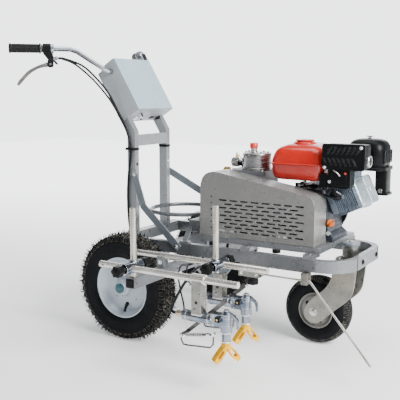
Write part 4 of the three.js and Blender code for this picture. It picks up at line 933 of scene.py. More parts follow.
# ------------------------------------------------------------------ pump
PUMP_X = 386
PORT_Z = 676  # height of the pump's pressure port and its knob
pump = Form()
pump.revolve([(52.0, 650.6), (57.4, 650.6), (58.4, 652.0), (58.4, 659.0), (57.0, 660.4), (55.2, 661.0),
              (55.2, 664.0), (56.2, 665.0),
              (56.2, 682), (55.6, 682.8), (55.6, 684.0), (56.2, 684.8), (56.2, 699), (55.6, 699.8),
              (55.6, 701), (56.2, 701.8),
              (56.2, 712.0), (55.4, 714.6), (52.6, 716.8), (48, 717.8), (36, 718.0), (34.8, 717.2),
              (33, 717.2), (31.8, 718.0), (4, 718.2)],
             (PUMP_X, 0, 0), "z", 96, 0, closed=False)
for a, b in circle(6, 43, 0.05):
    pump.bolt((PUMP_X + a, b, 717.6), (0, 0, 1), 4.4, 4.6, 0, washer=False)
pump.make("pump_drum", turned, "root", slot="turned_steel", replaces=["pump_head"], sharp=30)
port = Form()
port.rod((322, 0, PORT_Z), (350, 0, PORT_Z), 13.4, 40, 0, chamfer=0.8)
port.tube([(x, 0, PORT_Z) for x in (318.9, 323, 325)], [15.8, 17.4, 15.8], 40, 1)
port.tube([(328, 0, PORT_Z), (336, 0, PORT_Z)], 15.6, 6, 0)
port.make("pressure_port", [brushed, black_plastic], "root", slot="turned_steel", bevel=0.4)

knob = Form()
knob.fluted((0, 0, PORT_Z), [(2, 276.2), (11, 276.2), (15.5, 277.4), (17.6, 280), (18.6, 284), (18.6, 303),
                             (17.4, 307),
                             (13.6, 309.2), (12.0, 310.0)],
            lambda radius, k: 1 + (0.075 * math.cos(math.pi * k / 5) if radius > 14 else 0), 60, 0, (1, 0, 0),
            (0, 1, 0))
knob.rod((309, 0, PORT_Z), (318.5, 0, PORT_Z), 14.6, 40, 1, chamfer=1.2)
knob.rod((274.4, 0, PORT_Z), (277, 0, PORT_Z), 5.4, 20, 0, chamfer=0.7)
knob.make("pressure_hand_knob", [brushed, black_plastic], "pressure_dial", slot="turned_steel",
          replaces=["pressure_knob"], sharp=40)
prime = Form()
prime.revolve([(15.0, 718.4), (15.0, 721.6), (13.6, 723.0), (13.4, 726), (13.4, 735)], (374, -4, 0), "z", 40,
              0, closed=False)
prime.fluted((374, -4, 0), [(7.5, 734.4), (15.0, 734.4), (16.2, 735.6), (16.4, 741), (16.0, 751),
                            (14.6, 754.0), (11.4, 755.0),
                            (3, 755.2)],
             lambda radius, k: 1 - (0.035 * (1 + math.cos(math.pi * k / 2)) / 2 if radius > 15.5 else 0), 48,
             1)
prime.make("prime_knob", [brushed, red_plastic], "valve", slot="red_plastic", replaces=["prime_valve"],
           sharp=34)

pump_bits = Form()
for x in (297, 434):
    for y in (-48, 48):
        pump_bits.bolt((x, y, 650.2), (0, 0, 1), 6.2, 5.0, 0)
pump_bits.rod((243.6, -10, 641), (290, -10, 641), 10.6, 32, 1, chamfer=0.6)
pump_bits.tube([(248, -10, 641), (272, -10, 641)], 15.4, 6, 1)
pump_bits.revolve([(10.7, 273), (13.2, 274), (13.2, 280), (10.7, 281)], (0, -10, 641), "x", 32, 1)
pump_bits.rod((336, -34, 684), (322, -40, 700), 8.0, 24, 2, chamfer=0.8)
pump_bits.rod((324, -39, 697), (318, -42, 716), 5.0, 20, 2, chamfer=0.6)
pump_bits.tube([(322, -40, 700), (320, -41, 707)], 9.6, 6, 1)
pump_bits.tube([(346, 20, 690), (338, 28, 698), (334, 30, 712), (334, 30, 722)], [4.4, 4.4, 4.4, 5.2], 16, 2)
pump_bits.box((326, 24, 699), (342, 36, 704), 2)
for z in (436, 470, 504, 538, 572, 606):
    pump_bits.prism(round_rect(322, 448, z - 2.2, z + 2.2, 2, 3), "y", 61, 66.5, 3)
pump_bits.revolve([(40, 60), (44, 64), (44, 70), (38, 73)], (345, 0, 525), "y", 48, 3, closed=False)
for a, b in circle(6, 33):
    pump_bits.bolt((345 + a, 72.5, 525 + b), (0, 1, 0), 4.2, 3.2, 0, washer=False)
pump_bits.tube(curve_through([(318, 40, 600), (296, 44, 600), (278, 46, 580), (272, 46, 540), (286, 44, 470),
                              (318, 40, 450)], 40),
               6.0, 16, 4)
for z in (600, 450):
    pump_bits.tube([(304, 40.5, z), (319, 40, z)], 8.2, 6, 1)
pump_bits.make("pump_fittings", [white_screw, brass, brushed, pump_paint, cable_skin], "root", bevel=0.35,
               slot="turned_steel")


# ------------------------------------------------------------------ engine
def loft(form, plan, levels):
    """Skins rounded rectangles; plan is (x0, x1, y0, y1) and levels are (z, inset from it, corner radius)."""
    x0, x1, y0, y1 = plan
    form.rings([[(x, y, z) for x, y in round_rect(x0 + inset, x1 - inset, y0 + inset, y1 - inset, corner, 10)]
                for z, inset, corner in levels])


tank = Form()
CAP_AT = (592, -10, 0)
loft(tank, (489, 701, -110, 126), [(z, inset, 30 if inset < 40 else 20) for z, inset in (
    (629.2, 27), (630.8, 20), (634, 14.5), (639, 10.2), (646, 7.2), (655, 5.4), (665, 4.2), (676, 3.2),
    (686.0, 2.4),
    (687.4, -1.5), (688.6, -3.6), (691.4, -3.6), (692.6, -1.5), (694.0, 2.6), (704, 4.0), (714, 6.2),
    (724, 9.0),
    (733, 12.6), (740, 17), (746, 23), (751, 31), (755.4, 42), (759.6, 56), (763.0, 72), (765.2, 86))])
tank.revolve([(44, 757.0), (43, 763.6), (38.6, 767.4), (12, 767.8)], CAP_AT, "z", 64, 0, closed=False)
tank.make("tank_shell", tank_red, "root", slot="tank_red", replaces=["fuel_tank"], sharp=44)
filler = Form()
filler.fluted(CAP_AT, [(16, 768.4), (31, 768.4), (34.2, 769.4), (34.6, 770.4), (34.6, 773.6), (33.4, 775.4),
                       (28, 776.4),
                       (22, 776.6), (20.5, 775.8), (4, 775.6)],
              lambda radius, k: 0.97 if radius > 33 and k % 4 < 2 else 1, 96)
filler.make("filler_cap", tank_red, "tank_cap", slot="tank_red", replaces=["fuel_cap"], sharp=30)

cleaner = Form()
levels = [(670, 740, 14, 34), (668.4, 735, 10, 36), (669.4, 733, 8, 37), (678, 733, 8, 37),
          (680.4, 735, 10, 36),
          (681.4, 741, 16, 34), (683.4, 743, 18, 34), (690, 741, 16, 36), (712, 739.6, 14.6, 38),
          (740, 740, 15, 38),
          (757, 742.6, 17.6, 38), (768, 747.6, 22.6, 38), (775, 755, 30, 36), (779, 765, 40, 32),
          (781, 778, 53, 24)]
cleaner.rings([[(x, y, z) for x, y in round_rect(x0, 1620 - x0, y0, 162 - y0, corner, 10)] for z, x0, y0,
               corner in levels])
for k in range(5):
    y = 40 + k * 20.5
    cleaner.prism(round_rect(y - 3.2, y + 3.2, 694, 742, 3, 4), "x", 878.6, 882.4)
for k in range(4):
    x = 770 + k * 26
    cleaner.prism(round_rect(x - 3.2, x + 3.2, 694, 742, 3, 4), "y", 12.6, 16.0)
cleaner.prism(round_rect(837, 879.5, 70, 132, 6, 4), "z", 575.4, 670)
cleaner.prism(round_rect(709, 741, 62, 94, 5, 4), "z", 622.4, 678)
cleaner.prism(round_rect(831, 885, 66, 136, 7, 4), "z", 574.6, 583)
cleaner.bolt((858, 69.6, 590), (0, -1, 0), 6.0, 9.0, 1)
cleaner.rod((810, 81, 780), (810, 81, 784.2), 7, 24, 1, chamfer=0.6)
cleaner.rod((810, 81, 783), (810, 81, 792.5), 3.0, 16, 1, chamfer=0.6)
for out in (-1, 1):
    cleaner.tube([(810, 81, 786), (810 + out * 5, 81, 788), (810 + out * 11, 81, 791),
                  (810 + out * 12.4, 81, 788)], [3.2, 2.6, 2.2, 1.2], 10, 1, squash=0.7)
cleaner.make("air_cleaner_cover", [satin_black, zinc], "root", slot="black_plastic", replaces=["air_cleaner"],
             sharp=36)

exhaust = Form()
exhaust.prism(round_rect(705.5, 862, 680.5, 771.5, 9, 6), "y", -122.5, -117.5)
exhaust.prism(round_rect(708, 859.5, 683, 769, 8, 6), "y", -118.5, -54)
exhaust.prism(round_rect(724, 806, 613, 700, 12, 6), "y", -108, -60)
exhaust.prism(round_rect(736, 796, 622, 676, 6, 6), "y", -112.6, -107)
for z, lean in ((748, 14), (708, -14)):
    for k in range(7):
        x = 722 + k * 17.5
        exhaust.tube([(x, -122.0, z - 13), (x + lean * 0.5, -125.0, z), (x + lean, -122.0, z + 13)],
                     [2.0, 3.8, 2.0], 8, 0)
        # Thin near-black strips behind the louvres paint the shade under them.
        exhaust.tube([(x + 6, -121.8, z - 13), (x + 6 + lean * 0.5, -122.6, z),
                      (x + 6 + lean, -121.8, z + 13)], [1.2, 2.2, 1.2], 8, 1)
# Near-black slots paint the shade in the vents.
for k in range(4):
    exhaust.prism(round_rect(-114 + k * 8, -110 + k * 8, 738, 764, 1.8, 3), "x", 859.0, 861.3, 1)
exhaust.bolt((848, -122.4, 760), (0, -1, 0), 4.4, 3.4, 2, dome=True)
exhaust.bolt((716, -122.4, 687), (0, -1, 0), 4.2, 3.2, 2, dome=True)
exhaust.bolt((732, -112.6, 636), (0, -1, 0), 4.0, 3.2, 2)
exhaust.bolt((790, -112.6, 668), (0, -1, 0), 3.4, 2.6, 4, dome=True)
exhaust.revolve([(14.5, 858), (20.0, 858), (21.0, 860.4), (21.0, 868.5), (19.2, 870.4), (14.5, 870.4)],
                (0, -84, 712), "x", 44, 3)
exhaust.rod((857, -84, 712), (862.5, -84, 712), 15, 32, 1)
exhaust.tube(curve_through([(742, -112, 684), (752, -119, 676), (764, -118, 668), (770, -112, 658)], 20), 2.4,
             10, 3)
exhaust.tube([(748, -104, 616), (744, -96, 596), (730, -84, 584)], 9, 16, 0)
exhaust.prism(round_rect(690, 722, 612, 660, 5, 4), "y", -104, -64)
exhaust.make("muffler_guard", [satin_black, painted_gap_shade, white_screw, brushed, red_plastic], "root", bevel=0.5,
             slot="black_sheet", replaces=["muffler"], sharp=36)

TILT = math.radians(25)
CRANK = (625, 0, 505)
STARTER_Z = 508


def on_barrel(p):
    """x runs out along the tilted cylinder from the crankshaft."""
    x, y, z = p
    return Vector((CRANK[0] + x * math.cos(TILT) - z * math.sin(TILT), y,
                   CRANK[2] + x * math.sin(TILT) + z * math.cos(TILT)))


barrel = Form()
for k in range(13):
    x = 116.5 + k * 6.7
    barrel.prism(round_rect(-50, 54, -54.5, 54.5, 14, 5), "x", x - 0.9, x + 0.9, 0)
barrel.prism(round_rect(-49, 53, -53, 53, 12, 5), "x", 196.5, 203.6, 0)
barrel.prism(round_rect(-44, 48, -48, 48, 10, 5), "x", 92, 118, 0)
for y in (-36, 40):
    for z in (-40, 40):
        barrel.rod((90, y, z), (203, y, z), 6.5, 16, 0)
barrel.make("cylinder_fins", fin_metal, "root", bevel=0.35, slot="engine_aluminium", change=on_barrel)
rocker = Form()
rocker.prism(round_rect(-43, 47, -49, 49, 12, 6), "x", 204.4, 209.6, 0)
for y in (-38, 42):
    for z in (-44, 44):
        rocker.bolt((209.4, y, z), (1, 0, 0), 4.8, 5.0, 1)
rocker.rod((243.8, 2, 0), (247.4, 2, 0), 6.4, 6, 1)
rocker.make("rocker_cover_trim", [rocker_zinc, white_screw], "root", bevel=0.5, slot="zinc_plate",
            change=on_barrel)
spark = Form()
spark.rod((150, -50, 8), (150, -66, 8), 8.4, 6, 1)
spark.rod((150, -62, 8), (150, -76, 8), 5.2, 20, 2)
spark.tube([(150, -70, 8), (150, -84, 9), (146, -92, 12), (136, -95, 16)], [7.6, 8.4, 8.0, 6.4], 18, 0)
spark.tube(curve_through([(138, -95, 15), (118, -96, 30), (92, -92, 58), (64, -84, 84), (40, -74, 100)], 30),
           3.3, 12, 0)
spark.make("spark_lead", [cable_skin, white_screw, pale_paint], "root", slot="cable_sheath", change=on_barrel,
           sharp=34)

engine = Form()
engine.revolve([(61, -54), (61, -58.4), (58, -61.0), (40, -61.8), (38, -60.4), (24, -60.4), (22, -62.0),
                (14, -62.0)], (CRANK[0], 0, 509), "y", 56, 0, closed=False)
for a, b in circle(7, 52, 0.05):
    engine.bolt((CRANK[0] + a, -60.6, 509 + b), (0, -1, 0), 4.8, 4.2, 1)
engine.prism([(562, 430), (700, 430), (706, 448), (700, 520), (692, 600), (576, 600), (562, 520)], "y", -57.6,
             -54)
for x, z in ((571, 440), (694, 440), (690, 588), (586, 590)):
    engine.bolt((x, -57.4, z), (0, -1, 0), 4.6, 4.0, 1)
for z in (450, 466, 482, 498, 514, 530, 546, 562, 578):
    engine.prism(round_rect(-44, 84, z - 1.8, z + 1.8, 1.6, 3), "x", 700 if z < 530 else 690,
                 708.5 if z < 470 else 706.5)
engine.rod((716, -62, 440), (716, -70, 440), 8.4, 6, 1)
engine.rod((590, -56, 424), (590, -66, 424), 8.0, 6, 1)
engine.tube(curve_through([(700, -60, 604), (716, -68, 612), (736, -66, 600), (752, -50, 584)], 24), 2.2, 10,
            1)
engine.box((580, -66, 600), (668, -62, 618), 2)
engine.tube([(600, -67, 609), (640, -69, 616), (690, -69, 634), (706, -66, 652)], 2.6, 10, 1)
engine.rod((598, -60, 609), (598, -71, 609), 6.0, 6, 1)
spring = [(610 + k * 1.3, -70 + 2.4 * math.cos(k * 1.3), 602 + 2.4 * math.sin(k * 1.3)) for k in range(1, 60)]
engine.tube([(610, -70, 602), *spring], 0.7, 6, 1)
engine.prism(round_rect(741, 800, -42, 40, 8, 5), "z", 628, 668, 3)
engine.rod((762, -44, 646), (762, -58, 646), 11, 28, 3, chamfer=1.2)
engine.bolt((762, -58, 646), (0, -1, 0), 5.0, 4.0, 1, washer=False)
engine.revolve([(8, 604), (23, 604), (25, 606), (25, 626), (22, 630)], (770, -4, 0), "z", 36, 3, closed=False)
engine.tube([(742, -30, 640), (724, -36, 636), (706, -38, 630)], 7, 16, 3)
for y in (-42, 52):
    for x in (566, 712):
        engine.bolt((x, y, 424.4), (0, 0, 1), 6.0, 5.0, 1)
engine.prism([(546, -60), (730, -60), (730, 100), (546, 100)], "z", 406.2, 411.0, 0)
engine.make("engine_covers", [case_metal, white_screw, satin_black, fin_metal], "root", bevel=0.6,
            slot="engine_aluminium")
dip = Form()
start = Vector((720, -64, 477.4))
axis = Vector((22, -24, 8)).normalized()
across = axis.orthogonal().normalized()
dip.fluted(start, [(9.5, -3), (14.2, -2), (15.4, 0), (15.4, 8), (14.0, 10), (6.0, 10.4)],
           lambda radius, k: 0.93 if radius > 13 and k % 6 < 2 else 1, 48, 0, axis, across)
dip.tube([start + axis * up + across * out for up, out in ((10, -12), (15, -9), (15, 9), (10, 12))],
         [3.0, 3.6, 3.6, 3.0], 10)
dip.make("oil_dipstick", orange_plastic, "root", slot="red_plastic", sharp=34)

recoil = Form()
skew = 0.1 / (2 * math.pi)
# Near-black bars paint the shade in the starter cover's slots.
for (a, b), (c, d) in zip(circle(18, 52, skew), circle(18, 82, -skew)):
    recoil.tube([(CRANK[0] + a, 158.8, STARTER_Z + b), (CRANK[0] + c, 149.6, STARTER_Z + d)], [3.2, 3.4], 10,
                1)
recoil.revolve([(101.0, 97), (101.4, 103), (98.8, 105.5), (96, 104)], (CRANK[0], 0, STARTER_Z), "y", 72)
recoil.revolve([(30, 160.5), (29, 165.4), (24, 167.2), (8, 167.6)], (CRANK[0], 0, STARTER_Z), "y", 48, 0,
               closed=False)
for a, b in circle(4, 91, 1 / 8):
    recoil.bolt((CRANK[0] + a, 141, STARTER_Z + b), (0, 1, 0), 4.4, 4.0, 2)
recoil.tube([(544, 131, 588), (556, 131, 586)], [7.4, 9.0], 20, 0)
recoil.make("starter_trim", [black_plastic, painted_gap_shade, white_screw], "root", bevel=0.4, slot="black_sheet")
rope = Form().tube([Vector((534 + k * 1.2, 131, 588)) for k in range(18)], 2.3, 10)
rope_piece = rope.make("starter_rope", pale_paint, None, slot="black_plastic")
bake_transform(rope_piece)
pull = Form()
pull.prism(round_rect(519, 535, 576.5, 599.5, 6, 6), "y", 110.5, 151.5)
pull.make("starter_grip", black_plastic, "starter_handle", bevel=2.6, slot="black_plastic",
          replaces=["recoil_handle"])


# ------------------------------------------------------------------ gun arm, rods and posts
POST_1 = (223, -590)
POST_2 = (464, -448)
arm = Form()
arm.revolve([(11.2, 325), (11.3, 326), (11.3, 563), (10.2, 564.3)], (POST_1[0], POST_1[1], 0), "z", 36, 0,
            closed=False)
arm.make("gun_arm_post", post_steel, "root", slot="rod_steel", sharp=40)
arm = Form()
arm.revolve([(10.2, 99.6), (11.3, 101), (11.3, 645.8), (10.2, 647.4)], (0, -420, 366), "x", 36, 0,
            closed=False)
arm.make("gun_arm_rod", rod_steel, "root", slot="rod_steel", sharp=40)


def marks(form, post, top, radius):
    """Scale lines round a post, 10 mm apart from 400 mm up, every fifth one wide."""
    for k, z in enumerate(range(400, top, 10)):
        half = 0.22 if k % 5 else 0.4
        form.rod((*post, z - half), (*post, z + half), radius, 24)


scale = Form()
marks(scale, POST_1, 556, 11.36)
# The two short rods at the arm's ends paint the shade in its end holes.
scale.rod((631, -420, 354.4), (631, -420, 377.6), 3.6, 20, 0)
scale.rod((116, -420, 354.4), (116, -420, 377.6), 3.6, 20, 0)
scale.make("arm_scale_marks_and_hole_shade", marks_and_hole_shade, "root", slot="rod_steel")
scale = Form()
# A dark rod paints the shade in the rod's pin hole.
scale.rod((118, -628.4, 362), (118, -605.6, 362), 3.8, 20, 0)
scale.make("rod_1_pin_hole", marks_and_hole_shade, "carrier_1", slot="rod_steel")
scale = Form()
marks(scale, POST_2, 565, 11.15)
scale.make("post_2_scale_marks", marks_and_hole_shade, "carrier_2", slot="rod_steel")

plug = Form()
plug.prism(round_rect(207.5, 238.5, 291.2, 322.2, 4, 4), "y", -616.4, -611.8)
plug.prism(round_rect(211, 235, 294.6, 318.8, 3, 4), "y", -618.6, -616)
plug.prism(round_rect(207.5, 238.5, 291.2, 322.2, 4, 4), "y", 214.6, 219)
plug.make("arm_end_caps", black_plastic, "root", bevel=1.0, slot="black_plastic")
arm_parts = Form()
for y in (-585, -598):
    arm_parts.bolt((204.6, y, 306), (-1, 0, 0), 4.6, 4.0, 0)
for x in (209, 237):
    for y in (-176, 176):
        arm_parts.bolt((x, y, 288.4), (0, 0, -1), 5.4, 4.2, 0)
arm_parts.bolt((223, -434.6, 345), (0, -1, 0), 5.6, 4.2, 0)
arm_parts.bolt((207.6, -420, 345), (-1, 0, 0), 5.6, 4.2, 0)
arm_parts.make("arm_bolts", white_screw, "root", bevel=0.4, slot="zinc_plate")

for number, (cross, post_y), rod_y, z in ((1, POST_1, -617, 362), (2, POST_2, -420, 366)):
    middle = (post_y + rod_y) / 2
    body = f"clamp_{number}"
    part = Form()
    for side in (-1, 1):
        seat = middle + side * 48
        part.revolve([(6.5, seat - side * 3.0), (20.6, seat - side * 3.0), (20.6, seat - side * 0.8),
                      (19.2, seat + side * 0.1), (6.5, seat + side * 0.1)],
                     (cross, 0, z), "y", 40, 0)
    for high in (-1, 1):
        part.revolve([(12.2, z + high * 19), (17.6, z + high * 19), (17.6, z + high * 21.4),
                      (16.6, z + high * 22.6), (12.2, z + high * 22.6)],
                     (cross, post_y, 0), "z", 36, 0)
    part.bolt((cross, middle + (16 if rod_y < post_y else -16), z + 19.8), (0, 0, 1), 3.8, 3.0, 1,
              washer=False, dome=True)
    part.make(f"cross_clamp_{number}_rings", [chrome, white_screw], body, bevel=0.3, slot="turned_steel")
    for suffix, side in (("a", -1), ("b", 1)):
        seat = middle + side * 48.3
        part = Form()
        part.revolve([(3.6, seat + side * 38.2), (11.4, seat + side * 38.2), (12.0, seat + side * 37.6),
                      (13.4, seat + side * 37.9),
                      (13.4, seat + side * 38.6), (10.6, seat + side * 40.2), (3.6, seat + side * 41.0)],
                     (cross, 0, z), "y", 40, 0, closed=False)
        part.rod((cross, seat + side * 0.4, z), (cross, seat + side * 12, z), 6.4, 24, 1)
        for k in range(9):
            at = seat + side * (1.4 + k * 1.15)
            part.rod((cross, at, z), (cross, at + side * 0.5, z), 6.9, 24, 1)
        part.make(f"lock_knob_{number}{suffix}_parts", [satin_black, brushed], f"knob_{number}{suffix}",
                  slot="black_plastic", sharp=30)

GUNS = {1: (501, -617, 238, 358), 2: (480, -448, 247, 342)}
for number, (x, y, z, top) in GUNS.items():
    carrier = f"carrier_{number}"
    cover = Form()
    for out in (-1, 1):
        y0 = y + out * 16.2
        cover.prism(round_rect(x - 18.3, x + 18.3, z + 12, top + 0.3, 3, 4), "y", y0, y0 + out * 0.7)
        # A near-black patch paints the shade in the hanger's hole.
        cover.prism(round_rect(x - 5.6, x + 5.6, z + 45, z + 56, 5.5, 8), "y", y0 + out * 0.7, y0 + out, 1)
        cover.bolt((x - 8, y0 + out * 0.7, z + 28), (0, out, 0), 4.6, 3.6)
        cover.bolt((x + 9, y0 + out * 0.7, z + 78), (0, out, 0), 4.2, 3.4)
    for out in (-1, 1):
        x0 = x + out * 18.2
        cover.prism(round_rect(y - 15.4, y + 15.4, z + 14, top, 2, 3), "x", x0, x0 + out * 0.6)
    cover.make(f"gun_hanger_{number}", [zinc, painted_gap_shade], carrier, bevel=0.3, slot="zinc_plate")
    holder = Form()
    holder.revolve([(10.4, x - 59.2), (15.4, x - 59.2), (17.9, x - 57), (17.9, x - 44), (16.6, x - 43),
                    (16.6, x - 40.6), (17.9, x - 39.6),
                    (17.9, x - 22), (17.6, x - 21), (17.6, x + 21), (17.9, x + 22), (17.9, x + 38),
                    (16.8, x + 39), (16.8, x + 41.5), (17.9, x + 42.5),
                    (17.9, x + 50), (17.0, x + 51.1)], (0, y, z), "x", 44, 0, closed=False)
    for a, b in circle(8, 17.7, 0.1 / math.pi):
        holder.tube([(x + 24, y + a, z + b), (x + 37, y + a, z + b)], 1.0, 8)
    holder.tube([(x - 84.2, y, z), (x - 81.8, y, z), (x - 66, y, z), (x - 64, y, z)], [9.2, 10.8, 10.8, 9.4],
                6, 1)
    holder.rod((x - 64.4, y, z), (x - 58, y, z), 8.4, 24, 1)
    holder.make(f"gun_holder_{number}", [blue_zinc, brown_nut], carrier, bevel=0.35, slot="turned_steel")

    part = Form()
    front = x + 51.3
    axis_x = x + 102
    part.box((front + 21.6, y - 24.2, z + 1.6), (front + 38.4, y - 22.6, z + 18.4), 0)
    part.prism(round_rect(front + 23.4, front + 36.6, z + 3.4, z + 16.6, 2, 3), "y", y - 26.2, y - 24.0, 0)
    part.rod((front + 30, y - 26.6, z + 10), (front + 30, y - 25.4, z + 10), 3.4, 20, 1)
    part.rod((front + 30, y + 14.8, z + 8), (front + 30, y + 20.6, z + 8), 8.6, 6, 2)
    for k, (radius, low, high) in enumerate(((18.8, -33, -28.6), (18.7, -10, -6), (18.7, 14, 18),
                                             (18.9, 23.4, 27.4))):
        part.revolve([(17.6, z + low), (radius, z + low + 0.6), (radius, z + high - 0.6), (17.6, z + high)],
                     (axis_x, y, 0), "z", 44, 3)
    for a, b in circle(6, 18.2, 1 / 12):
        part.tube([(axis_x + a, y + b, z - 27), (axis_x + a, y + b, z - 12)], 0.9, 8, 3)
    part.revolve([(8, z + 35.6), (8.8, z + 36.6), (8.8, z + 39.4), (6.6, z + 40.6), (3, z + 40.8)],
                 (axis_x, y, 0), "z", 32, 3, closed=False)
    part.tube([(axis_x, y, z - 31), (axis_x, y, z - 36)], 16.4, 6, 2)
    part.revolve([(14.2, z - 64.9), (15.8, z - 64), (15.8, z - 60.6), (14.2, z - 59.6)], (axis_x, y, 0), "z",
                 40, 2)
    part.tube([(front - 0.1, y, z + 3), (front + 4, y, z + 3)], 17.2, 6, 2)
    for dz in (-11, 17):
        part.bolt((front + 12, y - 15, z + dz), (0, -1, 0), 3.0, 2.2, 2, washer=False)
    part.bolt((front + 44, y - 15.2, z + 18), (0, -1, 0), 2.8, 2.2, 2, washer=False, dome=True)
    part.make(f"gun_{number}_parts", [black_plastic, brass, white_screw, chrome], carrier, bevel=0.35,
              slot="turned_steel")

    tip_top = z - 65.3
    around = Matrix.Rotation(math.radians(55), 3, "Z")

    def on_tip(a, w, b):
        return around @ Vector((a, w, b)) + Vector((axis_x, y, tip_top))

    guard = Form()
    for side in (-1, 1):
        outer = [(2, -10), (12, -11), (22, -22), (36, -39), (45.6, -51), (46.0, -56), (38, -63), (34, -63.6),
                 (25, -57), (15, -44), (3, -27), (1, -18)]
        middle = Vector((22, -35.5))
        rings = []
        for far in map(Vector, outer):
            near, lip = middle.lerp(far, 0.50), middle.lerp(far, 0.94)
            rings.append([on_tip(side * p.x, w, p.y)
                          for p, w in ((near, -10.5), (lip, -13.2), (far, -11.6), (far, 11.6), (lip, 13.2),
                                       (near, 10.5))])
        guard.rings(rings, 0, closed=True)
        for k in range(3):
            guard.tube([on_tip(side * (30 + k * 5.0), w, -31 - k * 6.6) for w in (-11, 11)], 1.7, 8)
    guard.revolve([(6, -20), (12.6, -20), (14.4, -18.4), (14.4, -2.0), (13.2, -0.2), (6, -0.2)],
                  (axis_x, y, tip_top), "z", 40, 0)
    guard.make(f"tip_guard_wings_{number}", yellow_plastic, f"tip_{number}", bevel=0.8, slot="yellow_plastic",
               replaces=[f"tip_guard_{number}"], sharp=38)
    tip = Form()
    tip.revolve([(13.8, -19.6), (15.4, -18.6), (15.4, -14.8), (14.2, -13.6), (14.2, -3.4), (15.0, -2.6),
                 (15.0, -0.8), (13.0, -0.2)],
                (axis_x, y, tip_top), "z", 36)
    for a, b in circle(10, 14.3):
        tip.tube([(axis_x + a, y + b, tip_top - 12.6), (axis_x + a, y + b, tip_top - 4)], 1.3, 8)
    tip.rod((axis_x, y, tip_top - 19.5), (axis_x, y, tip_top - 27), 5.4, 24, 1, chamfer=1.0)
    # A near-black disc paints the shade in the tip's orifice.
    tip.rod((axis_x, y, tip_top - 26.6), (axis_x, y, tip_top - 27.2), 1.6, 12, 2)
    tip.make(f"spray_tip_{number}", [yellow_plastic, brass, painted_gap_shade], f"tip_{number}",
             slot="yellow_plastic", sharp=35)

    link = Form()
    behind = y + 22.5
    low_x, low_z = x - 58, z - 65
    link.bolt((x + 14, y + 27.6, z), (0, 1, 0), 7.2, 4.6, 0)
    link.bolt((low_x, behind + 4.6, low_z), (0, 1, 0), 4.6, 3.4, 0)
    link.bolt((low_x, y - 20.4, low_z), (0, -1, 0), 4.6, 3.4, 0)
    push_end = Vector((x + 66, y - 17, z - 42))
    pull_start = Vector((low_x, y - 17, low_z))
    way = (push_end - pull_start).normalized()
    link.tube([push_end - way * 26, push_end - way * 14], 6.4, 6)
    link.tube([pull_start + way * 12, pull_start + way * 22], 6.4, 6)
    link.tube([push_end - Vector((0, 5, 0)), push_end + Vector((0, 5, 0))], 6.0, 20)
    coil = []
    for k in range(150):
        turn = k * 0.42
        at = pull_start + way * (24 + k * 0.42)
        coil.append(at + Vector((0, 6.0 * math.cos(turn), 6.0 * math.sin(turn))))
    link.tube(coil, 0.9, 6, 1)
    link.make(f"trigger_{number}_parts", [white_screw, brushed], f"trigger_{number}_body", bevel=0.25,
              slot="zinc_plate", sharp=40)

# ------------------------------------------------------------------ paint hoses and trigger cables
trunk = [(317.7, -30, 452), (300, -30, 452), (284, -30, 444), (275, -30, 422), (275, -30, 380),
         (277, -42, 330), (284, -90, 308),
         (292, -170, 305), (300, -235, 307)]
cable("hose_trunk", trunk, 5.4, 60, slot="hose_rubber", sides=16, replaces=["paint_hose"])
first = curve_through([(299, -225, 307), (316, -290, 312), (342, -370, 324), (362, -440, 324),
                       (376, -510, 306), (382, -575, 266), (390, -609, 244),
                       (403, -617, 238), (416.7, -617, 238)], 120)
second = curve_through([(298, -215, 306.5), (316, -280, 296), (338, -360, 272), (358, -425, 252),
                        (374, -444, 247), (384, -448, 247),
                        (395.7, -448, 247)], 100)
for number, line, split in ((1, first, (376, -510, 306)), (2, second, (338, -360, 272))):
    arm_line(f"hose_{number}", line, split, 4.9, 16, "hose_rubber")

fitting = Form()
fitting.tube([(317.8, -30, 452), (311, -30, 452), (309, -30, 452)], [9.4, 9.4, 8.0], 6, 0)
fitting.rod((309, -30, 452), (302, -30, 452), 7.0, 20, 0, end=6.2)
fitting.revolve([(5.6, 403), (15.5, 403), (16.5, 405), (16.5, 407.8), (14, 409.4), (8, 409.6), (6.4, 408)],
                (275, -30, 0), "z", 32, 1)
fitting.rod((297.4, -212, 306.6), (300.6, -240, 307.4), 8.6, 20, 2, chamfer=1.2)
fitting.make("hose_fittings", [brass, grip_rubber, zinc], "root", bevel=0.3, slot="pulley_iron", sharp=35)

triggers = {
    1: (((250, -286, 306.2), (268, -330, 316), (296, -400, 336), (330, -470, 342), (366, -530, 330)),
        ((366, -530, 330), (396, -566, 304), (422, -586, 262), (432, -594, 226))),
    2: (((249, -292, 305.6), (262, -318, 298), (288, -356, 292), (322, -388, 300), (350, -404, 310)),
        ((350, -404, 310), (376, -416, 306), (402, -424, 274), (411, -425.5, 235))),
}
for number, (slack, final) in triggers.items():
    x, y, z, top = GUNS[number]
    arm_line(f"trigger_cable_{number}", curve_through(slack + final[1:], 110), final[0], 2.9, 12,
             "cable_sheath")
    end = Vector(final[-1])
    part = Form()
    part.box((end.x - 5, y + 9.8, end.z - 4), (end.x + 7, end.y + 6, end.z - 1.2), 0)
    part.box((end.x + 1, y + 9.8, end.z - 4), (end.x + 4, y + 13, z + 6), 0)
    part.rod(end + Vector((0, 0, 8)), end + Vector((0, 0, -9)), 3.6, 16, 1)
    for low in (-1.2, -7):
        part.tube([end + Vector((0, 0, low)), end + Vector((0, 0, low + 2.8))], 6.2, 6, 1)
    part.make(f"cable_stop_{number}", [zinc, brushed], f"carrier_{number}", bevel=0.3, slot="zinc_plate",
              sharp=40)
    foot = Vector((x - 58, y + 22.5, z - 65))
    below = end + Vector((0, 0, -9))
    bridge(f"trigger_wire_{number}", [below.lerp(foot, k / 8) for k in range(9)], 1.0, 8,
           "zinc_plate", brushed, 40)

